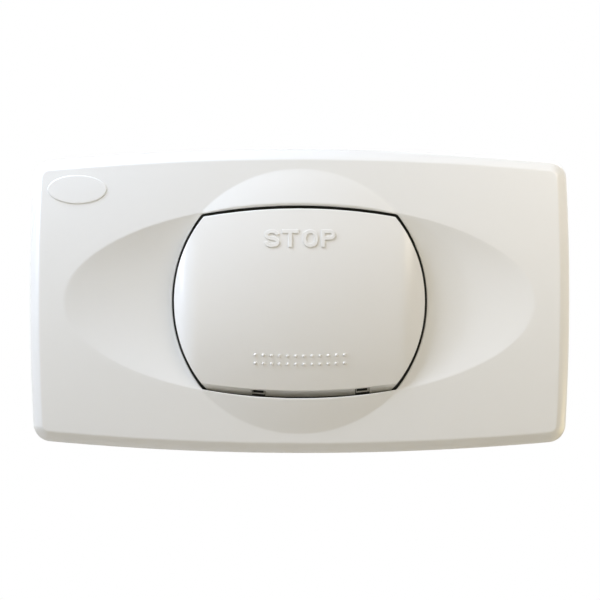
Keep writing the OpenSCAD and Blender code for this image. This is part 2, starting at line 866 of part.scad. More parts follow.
wire_rings = [for (i = [0 : len(wire_path) - 1]) wire_ring(wire_path, i)];
wire_points = [for (ring = wire_rings) each ring];
last_ring = (len(wire_path) - 1) * wire_sides;
wire_faces = concat(
    [for (k = [1 : wire_sides - 2]) [0, k, k + 1]],
    [for (i = [0 : len(wire_path) - 2], k = [0 : wire_sides - 1])
        let (a = i * wire_sides + k, b = i * wire_sides + (k + 1) % wire_sides)
        each [[a, a + wire_sides, b], [b, a + wire_sides, b + wire_sides]]],
    [for (k = [1 : wire_sides - 2]) [last_ring, last_ring + k + 1, last_ring + k]]
);

// Least gap between curls, over pairs of path points at least half a curl apart
coil_gap = min([for (i = [0 : coil_steps], j = [0 : coil_steps])
    if (j >= i + rings_per_curl / 2) norm(coil_points[j] - coil_points[i]) - wire_d]);
echo(least_gap_between_curls_mm = coil_gap);

module rod_spring(v) {
    color(steel_grey) front()
        translate([0, v, 0]) polyhedron(points = wire_points, faces = wire_faces);
}

module flush_spring() {
    rod_spring(-rod_v);
}

module stop_spring() {
    rod_spring(rod_v);
}

module flush_bush() {
    rod_bush(-rod_v);
}

module stop_bush() {
    rod_bush(rod_v);
}

module flush_plunger() {
    plunger(-rod_v);
}

module stop_plunger() {
    plunger(rod_v);
}

module flush_clip() {
    stem_clip(-rod_v);
}

module stop_clip() {
    stem_clip(rod_v);
}

module flush_spindle() {
    spindle(-rod_v);
}

module stop_spindle() {
    spindle(rod_v);
}

module flush_lock_nut() {
    lock_nut(-rod_v);
}

module stop_lock_nut() {
    lock_nut(rod_v);
}

module flush_tip() {
    spindle_tip(-rod_v);
}

module stop_tip() {
    spindle_tip(rod_v);
}

module guide_bridge() {
    color(frame_dark) front() translate([0, 0, -bridge_t])
        linear_extrude(bridge_t)
            difference() {
                square([bridge_w, bridge_h], center = true);
                square([bridge_hole_w, bridge_hole_h], center = true);
                for (side = [-1, 1])
                    translate([0, side * rod_v]) circle(rod_bush_r + push_gap, $fn = round_fn);
                screw_holes();
            }
}

module screw_holes() {
    four_at(screw_x, screw_v) circle(d = screw_d + 2 * push_gap, $fn = round_fn);
}

// Pan head screws driven from behind through the bridge into the frame
module bridge_screws() {
    color(steel_grey) front() four_at(screw_x, screw_v) translate([0, 0, -bridge_t])
        difference() {
            union() {
                cylinder(h = screw_l, d = screw_d, $fn = round_fn);
                translate([0, 0, -screw_head_t]) cylinder(h = screw_head_t, d = screw_head_d, $fn = round_fn);
            }
            translate([0, 0, -screw_head_t - lap])
                cylinder(h = screw_head_t / 2 + lap, d = screw_drive_d, $fn = hex_fn);
        }
}

module axle_post(side) {
    start = side > 0 ? post_x : -post_out_x;
    difference() {
        union() {
            along_axle(start, post_w, 2 * post_r);
            translate([start, -post_r, frame_t / 2]) cube([post_w, 2 * post_r, axle_h - frame_t / 2]);
        }
        along_axle(start - lap, post_w + 2 * lap, 2 * (bush_r + push_gap));
    }
}

// Outline of a slot that lies along X
module slot_outline(length, width) {
    square([length - width, width], center = true);
    for (side = [-1, 1])
        translate([side * (length - width) / 2, 0]) circle(d = width, $fn = round_fn);
}

module frame_plate() {
    linear_extrude(frame_t)
        difference() {
            rounded_rect(frame_w, frame_h, frame_corner);
            square([window_w, window_h], center = true);
            for (side = [-1, 1])
                translate([side * stud_x, 0]) slot_outline(stud_slot_l, stud_slot_w);
            screw_holes();
        }
}

// Raised edge round the frame plate
module frame_edge() {
    linear_extrude(frame_t + frame_edge_h)
        difference() {
            rounded_rect(frame_w, frame_h, frame_corner);
            rounded_rect(frame_w - 2 * frame_edge_w, frame_h - 2 * frame_edge_w, frame_corner - frame_edge_w);
        }
}

module mounting_frame() {
    color(frame_dark) front() {
        frame_plate();
        frame_edge();
        for (side = [-1, 1]) axle_post(side);
        four_at(peg_x, peg_v)
            translate([0, 0, frame_t / 2]) cylinder(h = frame_t / 2 + peg_l, d = peg_d, $fn = round_fn);
    }
}

module at_studs() {
    for (side = [-1, 1]) translate([side * stud_x, 0, 0]) children();
}

// Stepped studs: the thick end goes into the wall, and the thin end takes the washer and the nut
module fixing_studs() {
    color(steel_grey) front() at_studs() {
        translate([0, 0, -stud_back])
            cylinder(h = stud_back - rest_gap, d = stud_d, $fn = round_fn);
        translate([0, 0, -rest_gap - lap])
            cylinder(h = stud_front_h + rest_gap + lap, d = stud_end_d, $fn = round_fn);
    }
}

module stud_washers() {
    color(steel_grey) front() at_studs()
        translate([0, 0, frame_t + washer_t / 2])
            retaining_ring(washer_d, stud_end_d + 2 * push_gap, washer_t);
}

module stud_nuts() {
    color(steel_grey) front() at_studs()
        translate([0, 0, washer_h]) hex_nut(stud_nut_w, stud_nut_t, stud_end_d + 2 * push_gap);
}

cover_plate();
mounting_frame();
guide_bridge();
bridge_screws();
flush_bush();
stop_bush();
left_axle_bush();
right_axle_bush();
fixing_studs();
stud_washers();
stud_nuts();
stop_buffers();
flush_spring();
stop_spring();
rocker_key();
key_carrier();
hinge_axle();
axle_clips();
pusher_pads();
flush_plunger();
flush_clip();
flush_spindle();
flush_lock_nut();
flush_tip();
stop_plunger();
stop_clip();
stop_spindle();
stop_lock_nut();
stop_tip();
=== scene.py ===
"""Scene of a white flush plate: moulded cover, cushion rocker key, two push rods and a wall frame."""
import json
import logging
import math
from collections.abc import Callable, Sequence
from dataclasses import dataclass, replace
from enum import Enum

import bmesh
import bpy
import numpy as np
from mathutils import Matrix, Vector


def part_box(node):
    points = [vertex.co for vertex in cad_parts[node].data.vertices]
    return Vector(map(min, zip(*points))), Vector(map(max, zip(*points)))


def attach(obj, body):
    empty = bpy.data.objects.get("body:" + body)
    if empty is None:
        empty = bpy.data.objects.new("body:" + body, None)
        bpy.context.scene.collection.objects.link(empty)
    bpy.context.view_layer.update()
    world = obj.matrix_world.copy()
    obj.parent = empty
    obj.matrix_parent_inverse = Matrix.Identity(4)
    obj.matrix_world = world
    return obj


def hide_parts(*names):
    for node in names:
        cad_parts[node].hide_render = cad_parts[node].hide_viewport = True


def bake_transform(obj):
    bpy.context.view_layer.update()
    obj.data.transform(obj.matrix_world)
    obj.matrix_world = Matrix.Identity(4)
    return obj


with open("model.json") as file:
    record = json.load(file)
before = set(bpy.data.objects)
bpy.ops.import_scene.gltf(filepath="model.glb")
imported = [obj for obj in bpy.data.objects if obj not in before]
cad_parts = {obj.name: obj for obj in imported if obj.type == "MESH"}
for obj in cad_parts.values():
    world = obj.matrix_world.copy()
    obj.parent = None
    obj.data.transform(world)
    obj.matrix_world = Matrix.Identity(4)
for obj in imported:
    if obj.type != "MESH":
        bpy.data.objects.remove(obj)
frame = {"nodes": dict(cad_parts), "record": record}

log = logging.getLogger("flush_plate")
MM = 0.001
QUARTER = math.pi / 2
# Points closer together than this, in metres, are one point.
SAME_POINT = 1e-7
# Rays that lean this nearly alike are one ray.
SAME_RAY = 1e-6
Pair = tuple[float, float]
Triple = tuple[float, float, float]
RGB = Triple
Place = Sequence[float]
Values = np.ndarray | float
Node = bpy.types.Node
NodeTree = bpy.types.NodeTree
Piece = bpy.types.Object
Socket = bpy.types.NodeSocket


def arc_radius(half: float, rise: float) -> float:
    """Radius of an arc that rises by the given amount over half its chord."""
    return (half ** 2 + rise ** 2) / (2 * rise)


def arc_fall(radius: float, half: Values) -> Values:
    """How far an arc has fallen from its crown at a distance from its middle."""
    return radius - np.sqrt(radius ** 2 - np.square(half))


def circle_meet(centre_a: Place, radius_a: float, centre_b: Place, radius_b: float) -> np.ndarray:
    """Finds the upper right crossing of two circles.

    Args:
        centre_a: Centre of the first circle.
        radius_a: Radius of the first circle.
        centre_b: Centre of the second circle.
        radius_b: Radius of the second circle.

    Returns:
        The crossing as an array of two numbers.
    """
    a, b = np.array(centre_a, float), np.array(centre_b, float)
    span = np.linalg.norm(b - a)
    ahead = (b - a) / span
    along = (radius_a ** 2 - radius_b ** 2 + span ** 2) / (2 * span)
    across = math.sqrt(radius_a ** 2 - along ** 2) * np.array([ahead[1], -ahead[0]])
    return max((a + along * ahead + sign * across for sign in (-1, 1)), key=np.sum)


def ray_meet(along: Values, away: Values, radius: float) -> Values:
    """Distance along rays from the middle to the far side of a circle set away from it."""
    return along + np.sqrt(along ** 2 - away ** 2 + radius ** 2)


def soft_lower(a: np.ndarray, b: np.ndarray, blend: float) -> np.ndarray:
    """Lower of two heights, rounded where they cross."""
    near = np.maximum(blend - np.abs(a - b), 0)
    return np.minimum(a, b) - near ** 2 / (4 * blend)


def soft_higher(a: np.ndarray, b: np.ndarray, blend: float) -> np.ndarray:
    """Higher of two heights, rounded where they cross."""
    return -soft_lower(-a, -b, blend)


def edge_drop(distance: np.ndarray, radius: float) -> np.ndarray:
    """Drop of a rounded edge of the given radius at a distance inside it."""
    inside = np.clip(radius - distance, 0, radius)
    return radius - np.sqrt(radius ** 2 - inside ** 2)


def graded(length: float, fine: Sequence[float], step: float) -> np.ndarray:
    """Spreads stations over a length, close together near its ends.

    Args:
        length: Length to cover, in millimetres.
        fine: Distances of the close stations from an end, starting with 0.
        step: Largest distance between the stations further in.

    Returns:
        Fractions of the length, from 0 to 1.
    """
    start = np.array(fine)
    far = length - start[::-1]
    count = max(2, math.ceil((far[0] - start[-1]) / step) + 1)
    middle = np.linspace(start[-1], far[0], count)[1:-1]
    return np.concatenate([start, middle, far]) / length


def full_turn(sides: int) -> np.ndarray:
    """Angles of evenly spaced points around a full turn."""
    return np.linspace(0, 2 * math.pi, sides, endpoint=False)


def circle(centre: Place, radius: Values, angle: np.ndarray, height: Values) -> np.ndarray:
    """Points at radii, angles and heights about an axis square to the wall."""
    x, v = centre[0] + radius * np.cos(angle), centre[1] + radius * np.sin(angle)
    return np.stack(np.broadcast_arrays(x, v, height), axis=-1)


def border(grid: np.ndarray) -> np.ndarray:
    """Values round the border of a grid, starting at its first corner."""
    return np.concatenate([grid[0, :-1], grid[:-1, -1], grid[-1, :0:-1], grid[:0:-1, 0]])


def four_places(x: float, v: float) -> list[Pair]:
    """Places of four like features, one in each quarter."""
    return [(side * x, up * v) for side in (-1, 1) for up in (-1, 1)]


@dataclass(frozen=True)
class NodeBox:
    """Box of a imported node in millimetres, with heights measured from the wall."""

    centre: Pair
    near: float
    far: float
    width: float
    tall: float

    @classmethod
    def of(cls, node: str) -> "NodeBox":
        """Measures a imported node.

        Args:
            node: Name of the node.

        Returns:
            Its box.
        """
        low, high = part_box(node)
        centre = ((low.x + high.x) / 2 / MM, (low.z + high.z) / 2 / MM)
        return cls(centre, -high.y / MM, -low.y / MM, (high.x - low.x) / MM, (high.z - low.z) / MM)


class MeshSketch:
    """Points and faces of one mesh, drawn lying down in millimetres with height measured from the wall."""

    def __init__(self) -> None:
        """Starts with no points."""
        self.points: list[np.ndarray] = []
        self.faces: list[list[int]] = []
        self.count = 0

    def add(self, points: np.ndarray) -> np.ndarray:
        """Adds points and gives their numbers in the same layout.

        Args:
            points: Array whose last axis is x, v and height.

        Returns:
            Array of point numbers.
        """
        flat = np.asarray(points, float).reshape(-1, 3)
        numbers = self.count + np.arange(len(flat)).reshape(points.shape[:-1])
        self.points.append(flat)
        self.count += len(flat)
        return numbers

    def quads(self, *corners: np.ndarray) -> None:
        """Adds four-sided faces, from the point numbers of their first to fourth corners."""
        self.faces.extend(np.stack(corners, axis=-1).reshape(-1, 4).tolist())

    def weave(self, numbers: np.ndarray) -> None:
        """Joins neighbouring rows and columns of numbered points with four-sided faces."""
        self.quads(numbers[:-1, :-1], numbers[:-1, 1:], numbers[1:, 1:], numbers[1:, :-1])

    def body(self, rows: np.ndarray, looped: bool = False) -> None:
        """Adds a closed body from rows of points that each run all the way round.

        Args:
            rows: Points of each row.
            looped: Whether the last row meets the first, as in a ring; otherwise both ends are capped.
        """
        numbers = self.add(rows)
        if looped:
            numbers = np.concatenate([numbers, numbers[:1]])
        else:
            self.faces += [numbers[0].tolist(), numbers[-1].tolist()]
        self.weave(np.concatenate([numbers, numbers[:, :1]], axis=1))

    def turned(self, profile: Sequence[tuple[Values, Values]], centre: Place, looped: bool = False,
               sides: int = 32) -> None:
        """Adds a form turned about an axis square to the wall.

        Args:
            profile: Radius and height of each row, the same all round or one for each point.
            centre: Place of the axis.
            looped: Whether the profile closes on itself, as of a tube.
            sides: Points around.
        """
        angle = full_turn(sides)
        self.body(np.stack([circle(centre, radius, angle, height) for radius, height in profile]), looped)

    def make(self, name: str, sharp_deg: float) -> Piece:
        """Stands the sketch up against the wall as an object in metres.

        Args:
            name: Name of the object.
            sharp_deg: Edges that turn more than this stay sharp.

        Returns:
            The new object, linked to the scene.
        """
        points = np.concatenate(self.points)
        upright = np.stack([points[:, 0], -points[:, 2], points[:, 1]], axis=-1) * MM
        mesh = bpy.data.meshes.new(name)
        mesh.from_pydata(upright.tolist(), [], self.faces)
        return finish_mesh(mesh, name, sharp_deg)


def finish_mesh(mesh: bpy.types.Mesh, name: str, sharp_deg: float) -> Piece:
    """Cleans a mesh, turns its faces outward, shades it smooth and links it.

    Args:
        mesh: Mesh in metres.
        name: Name of the object.
        sharp_deg: Edges that turn more than this stay sharp.

    Returns:
        The new object.
    """
    work = bmesh.new()
    work.from_mesh(mesh)
    bmesh.ops.remove_doubles(work, verts=work.verts, dist=SAME_POINT)
    bmesh.ops.recalc_face_normals(work, faces=work.faces)
    work.to_mesh(mesh)
    work.free()
    mesh.polygons.foreach_set("use_smooth", [True] * len(mesh.polygons))
    mesh.set_sharp_from_angle(angle=math.radians(sharp_deg))
    piece = bpy.data.objects.new(name, mesh)
    bpy.context.scene.collection.objects.link(piece)
    return piece


def keep_flat(piece: Piece) -> None:
    """Keeps broad faces flat beside their rounded edges."""
    piece.modifiers.new("flat_faces", "WEIGHTED_NORMAL").keep_sharp = True


def feed(node: Node, values: dict[str | int, object]) -> Node:
    """Sets a node's inputs.

    Args:
        node: The node.
        values: Value of each input: another node's output, which is linked, or a constant.

    Returns:
        The same node.
    """
    for key, value in values.items():
        if isinstance(value, Socket):
            node.id_data.links.new(value, node.inputs[key])
        else:
            node.inputs[key].default_value = value
    return node


def add_node(tree: NodeTree, kind: str, values: dict[str | int, object], **settings: object) -> Node:
    """Adds a shader node.

    Args:
        tree: Tree that takes the node.
        kind: Kind of node.
        values: Value of each input that is set.
        **settings: The node's properties.

    Returns:
        The node.
    """
    made = tree.nodes.new(kind)
    for key, value in settings.items():
        setattr(made, key, value)
    return feed(made, values)


COLOUR, NUMBER = "NodeSocketColor", "NodeSocketFloat"
MIX_SHARE, MIX_UNDER, MIX_OVER, MIX_RESULT = 0, 6, 7, 2


class GroupMaker:
    """One shader node group while it is put together."""

    def __init__(self, name: str, takes: dict[str, str], gives: dict[str, str]) -> None:
        """Starts a group that reads the place on the surface, in metres in the object's own frame.

        Args:
            name: Name of the group.
            takes: Kind of each named input.
            gives: Kind of each named output.
        """
        self.tree = bpy.data.node_groups.new(name, "ShaderNodeTree")
        for in_out, sockets in (("INPUT", takes), ("OUTPUT", gives)):
            for socket, kind in sockets.items():
                self.tree.interface.new_socket(name=socket, in_out=in_out, socket_type=kind)
        self.start = self.tree.nodes.new("NodeGroupInput")
        self.end = self.tree.nodes.new("NodeGroupOutput")
        self.place = self.tree.nodes.new("ShaderNodeTexCoord").outputs["Object"]

    def given(self, name: str) -> Socket:
        """One of the group's inputs."""
        return self.start.outputs[name]

    def noise(self, scale: Socket | float, detail: float) -> Socket:
        """Noise over the surface, of a scale in features per metre."""
        values = {"Vector": self.place, "Detail": detail, "Scale": scale}
        return add_node(self.tree, "ShaderNodeTexNoise", values).outputs[0]

    def spread(self, source: Socket, low: float = 0.0, high: float = 1.0, first: Socket | float = 0.0,
               last: Socket | float = 1.0) -> Socket:
        """Maps a value between low and high to the range between two ends.

        Args:
            source: The value.
            low: Value that gives the first end.
            high: Value that gives the last end.
            first: First end.
            last: Last end.

        Returns:
            The mapped value.
        """
        values = {"Value": source, "From Min": low, "From Max": high, "To Min": first, "To Max": last}
        return add_node(self.tree, "ShaderNodeMapRange", values).outputs[0]

    def times(self, a: Socket, b: Socket) -> Socket:
        """Product of two values."""
        return add_node(self.tree, "ShaderNodeMath", {0: a, 1: b}, operation="MULTIPLY").outputs[0]

    def mixed(self, share: Socket, under: str, over: str) -> NodeTree:
        """Ends a group of one colour output with the mix of two of its inputs.

        Args:
            share: Share of the upper colour.
            under: Input that gives the lower colour.
            over: Input that gives the upper colour.

        Returns:
            The finished group.
        """
        values = {MIX_SHARE: share, MIX_UNDER: self.given(under), MIX_OVER: self.given(over)}
        mix = add_node(self.tree, "ShaderNodeMix", values, data_type="RGBA")
        feed(self.end, {"Color": mix.outputs[MIX_RESULT]})
        return self.tree


class Effect(Enum):
    """Shared surface effects, each one shader node group."""

    TONE = "tone_drift"
    GRAIN = "moulded_grain"
    LINES = "turned_lines"
    WEAR = "edge_wear"
    DUST = "settled_dust"

    def group(self) -> NodeTree:
        """The effect's node group, built on first use."""
        return bpy.data.node_groups.get(self.value) or getattr(self, self.value)()

    def lay(self, tree: NodeTree, **values: object) -> Node:
        """Lays the effect into a material with its own values."""
        return feed(add_node(tree, "ShaderNodeGroup", {}, node_tree=self.group()), values)

    def tone_drift(self) -> NodeTree:
        """Slow drift between two close tones of a colour.

        Returns:
            The node group.
        """
        maker = GroupMaker(self.value, {"Base": COLOUR, "Shade": COLOUR, "Scale": NUMBER}, {"Color": COLOUR})
        drift = maker.noise(maker.given("Scale"), detail=3)
        return maker.mixed(maker.spread(drift, low=0.32, high=0.68), "Base", "Shade")

    def surface_relief(self, stretch: Triple, detail: float) -> NodeTree:
        """Fine relief and matching roughness from a stretched noise.

        Args:
            stretch: How closely the noise follows each axis.
            detail: Detail of the fine noise.

        Returns:
            The node group.
        """
        maker = GroupMaker(self.value, {"Scale": NUMBER, "Smooth": NUMBER, "Rough": NUMBER},
                           {"Height": NUMBER, "Roughness": NUMBER})
        stretched = add_node(maker.tree, "ShaderNodeVectorMath", {0: maker.place, 1: stretch},
                             operation="MULTIPLY")
        maker.place = stretched.outputs[0]
        patches = maker.noise(60, detail=2)
        rough = maker.spread(patches, first=maker.given("Smooth"), last=maker.given("Rough"))
        feed(maker.end, {"Height": maker.noise(maker.given("Scale"), detail), "Roughness": rough})
        return maker.tree

    def moulded_grain(self) -> NodeTree:
        """Even grain of a moulding tool's surface."""
        return self.surface_relief(stretch=(1, 1, 1), detail=3)

    def turned_lines(self) -> NodeTree:
        """Fine rings that a turning tool leaves along the rods."""
        return self.surface_relief(stretch=(0.06, 1, 0.06), detail=2)

    def edge_wear(self) -> NodeTree:
        """Rubbed tone along outer edges, broken up by noise.

        Returns:
            The node group.
        """
        maker = GroupMaker(self.value, {"Color": COLOUR, "Worn": COLOUR, "Amount": NUMBER}, {"Color": COLOUR})
        shape = add_node(maker.tree, "ShaderNodeNewGeometry", {})
        bend = maker.spread(shape.outputs["Pointiness"], low=0.515, high=0.60)
        broken = maker.spread(maker.noise(220, detail=3), low=0.35, high=0.65)
        share = maker.times(maker.times(bend, broken), maker.given("Amount"))
        return maker.mixed(share, "Color", "Worn")

    def settled_dust(self) -> NodeTree:
        """Thin dust on faces that look up.

        Returns:
            The node group.
        """
        maker = GroupMaker(self.value, {"Color": COLOUR, "Dust": COLOUR, "Amount": NUMBER}, {"Color": COLOUR})
        shape = add_node(maker.tree, "ShaderNodeNewGeometry", {})
        facing = add_node(maker.tree, "ShaderNodeSeparateXYZ", {0: shape.outputs["Normal"]})
        upward = maker.spread(facing.outputs["Z"], low=0.25)
        patches = maker.spread(maker.noise(90, detail=5), low=0.35, high=0.7)
        share = maker.times(maker.times(upward, patches), maker.given("Amount"))
        return maker.mixed(share, "Color", "Dust")


@dataclass(frozen=True)
class Finish:
    """One finish of the plate's pieces.

    Colours are linear. The relief's scale is in features per metre and its depth in millimetres.
    """

    slot: str
    base: RGB
    shade: RGB
    worn: RGB
    smooth: float
    rough: float
    relief: Effect = Effect.GRAIN
    relief_scale: float = 900.0
    relief_depth: float = 0.02
    drift_scale: float = 14.0
    wear: float = 0.3
    dust: float = 0.05
    dust_tone: RGB = (0.42, 0.40, 0.36)
    metallic: float = 0.0
    coat: float = 0.0
    coat_rough: float = 0.12

    def material(self) -> bpy.types.Material:
        """Gives the finish's material, built on first use.

        Returns:
            The material.
        """
        name = self.slot + "_finish"
        found = bpy.data.materials.get(name)
        if found:
            return found
        made = bpy.data.materials.new(name)
        made.use_nodes = True
        tree = made.node_tree
        tone = Effect.TONE.lay(tree, Base=(*self.base, 1), Shade=(*self.shade, 1), Scale=self.drift_scale)
        worn = Effect.WEAR.lay(tree, Color=tone.outputs["Color"], Worn=(*self.worn, 1), Amount=self.wear)
        dusty = Effect.DUST.lay(tree, Color=worn.outputs["Color"], Dust=(*self.dust_tone, 1),
                                Amount=self.dust)
        relief = self.relief.lay(tree, Scale=self.relief_scale, Smooth=self.smooth, Rough=self.rough)
        bump = add_node(tree, "ShaderNodeBump", {"Strength": 1.0, "Distance": self.relief_depth * MM,
                                                 "Height": relief.outputs["Height"]})
        feed(tree.nodes["Principled BSDF"], {
            "Base Color": dusty.outputs["Color"], "Roughness": relief.outputs["Roughness"],
            "Normal": bump.outputs["Normal"], "Metallic": self.metallic, "Coat Weight": self.coat,
            "Coat Roughness": self.coat_rough})
        return made


COVER_WHITE = Finish(
    "cover_white", base=(0.80, 0.795, 0.76), shade=(0.793, 0.787, 0.75), worn=(0.84, 0.835, 0.80),
    smooth=0.27, rough=0.31, relief_scale=700, relief_depth=0.003, drift_scale=9, wear=0.1, dust=0.012,
    coat=0.15)
KEY_WHITE = replace(
    COVER_WHITE, slot="key_white", base=(0.79, 0.78, 0.74), shade=(0.783, 0.772, 0.73),
    worn=(0.83, 0.82, 0.78))
# Dark frame plastic; the olive tint of its tones is painted shade, warmed to match the dim shade seen through
# the gaps round the key.
FRAME_DARK_AND_SHADE_TINT = Finish(
    "frame_dark", base=(0.056, 0.057, 0.041), shade=(0.068, 0.068, 0.052), worn=(0.16, 0.16, 0.16),
    smooth=0.42, rough=0.58, relief_scale=1500, relief_depth=0.03, wear=0.5, dust=0.18)
GUIDE_WHITE = Finish(
    "guide_white", base=(0.66, 0.67, 0.66), shade=(0.62, 0.62, 0.60), worn=(0.75, 0.75, 0.74),
    smooth=0.36, rough=0.5, relief_scale=1400, relief_depth=0.012, wear=0.3, dust=0.1)
STEEL = Finish(
    "steel", base=(0.56, 0.57, 0.58), shade=(0.48, 0.49, 0.51), worn=(0.72, 0.72, 0.73),
    smooth=0.22, rough=0.42, relief=Effect.LINES, relief_scale=2600, relief_depth=0.006, drift_scale=60,
    wear=0.6, dust=0.08, metallic=1.0)
BRASS = replace(
    STEEL, slot="brass", base=(0.62, 0.44, 0.17), shade=(0.52, 0.36, 0.13), worn=(0.80, 0.62, 0.30),
    smooth=0.24, rough=0.44)
RUBBER = Finish(
    "rubber", base=(0.026, 0.026, 0.027), shade=(0.036, 0.036, 0.036), worn=(0.09, 0.09, 0.09),
    smooth=0.6, rough=0.78, relief_scale=2200, relief_depth=0.03, wear=0.4, dust=0.25)
FINISHES = {f.slot: f for f in (COVER_WHITE, KEY_WHITE, FRAME_DARK_AND_SHADE_TINT, GUIDE_WHITE, STEEL, BRASS, RUBBER)}


def fit(piece: Piece, body: str, finish: Finish, *nodes: str) -> Piece:
    """Dresses a piece, sets it on its body and hides the nodes that it stands for.

    Args:
        piece: The piece.
        body: Body that it rides on.
        finish: Its finish.
        *nodes: Nodes that it stands for.

    Returns:
        The piece.
    """
    piece.data.materials.clear()
    piece.data.materials.append(finish.material())
    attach(piece, body)
    if nodes:
        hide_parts(*nodes)
    log.info("%s: %d points, on %s", piece.name, len(piece.data.vertices), body)
    return piece


# Places of the rows across the cover's crease, as shares of the rounding on its two sides.
CREASE_SHARES = (-0.7, -0.45, -0.22, 0, 0.22, 0.45, 0.7, 1)
# Distances outside the field's edge of the rows where the rim starts to roll.
RIM_STARTS = (-1.0, -0.6, -0.3, 0.0, 0.3, 0.6, 1.0)
# Rows of the cover's front that its inner face follows.
BACK_ROWS = (-1, -5, -9, -13, -20, -28, -34, 6, 2, 0)
# Inset and added rise of the rings on the badge pad's nearly flat top.
BADGE_CROWN = ((1.2, 0.01), (3.0, 0.03), (5.5, 0.05))
# Steps after which the searches for edges no longer move.
CREASE_STEPS, FACE_STEPS, WALL_STEPS = 50, 40, 12


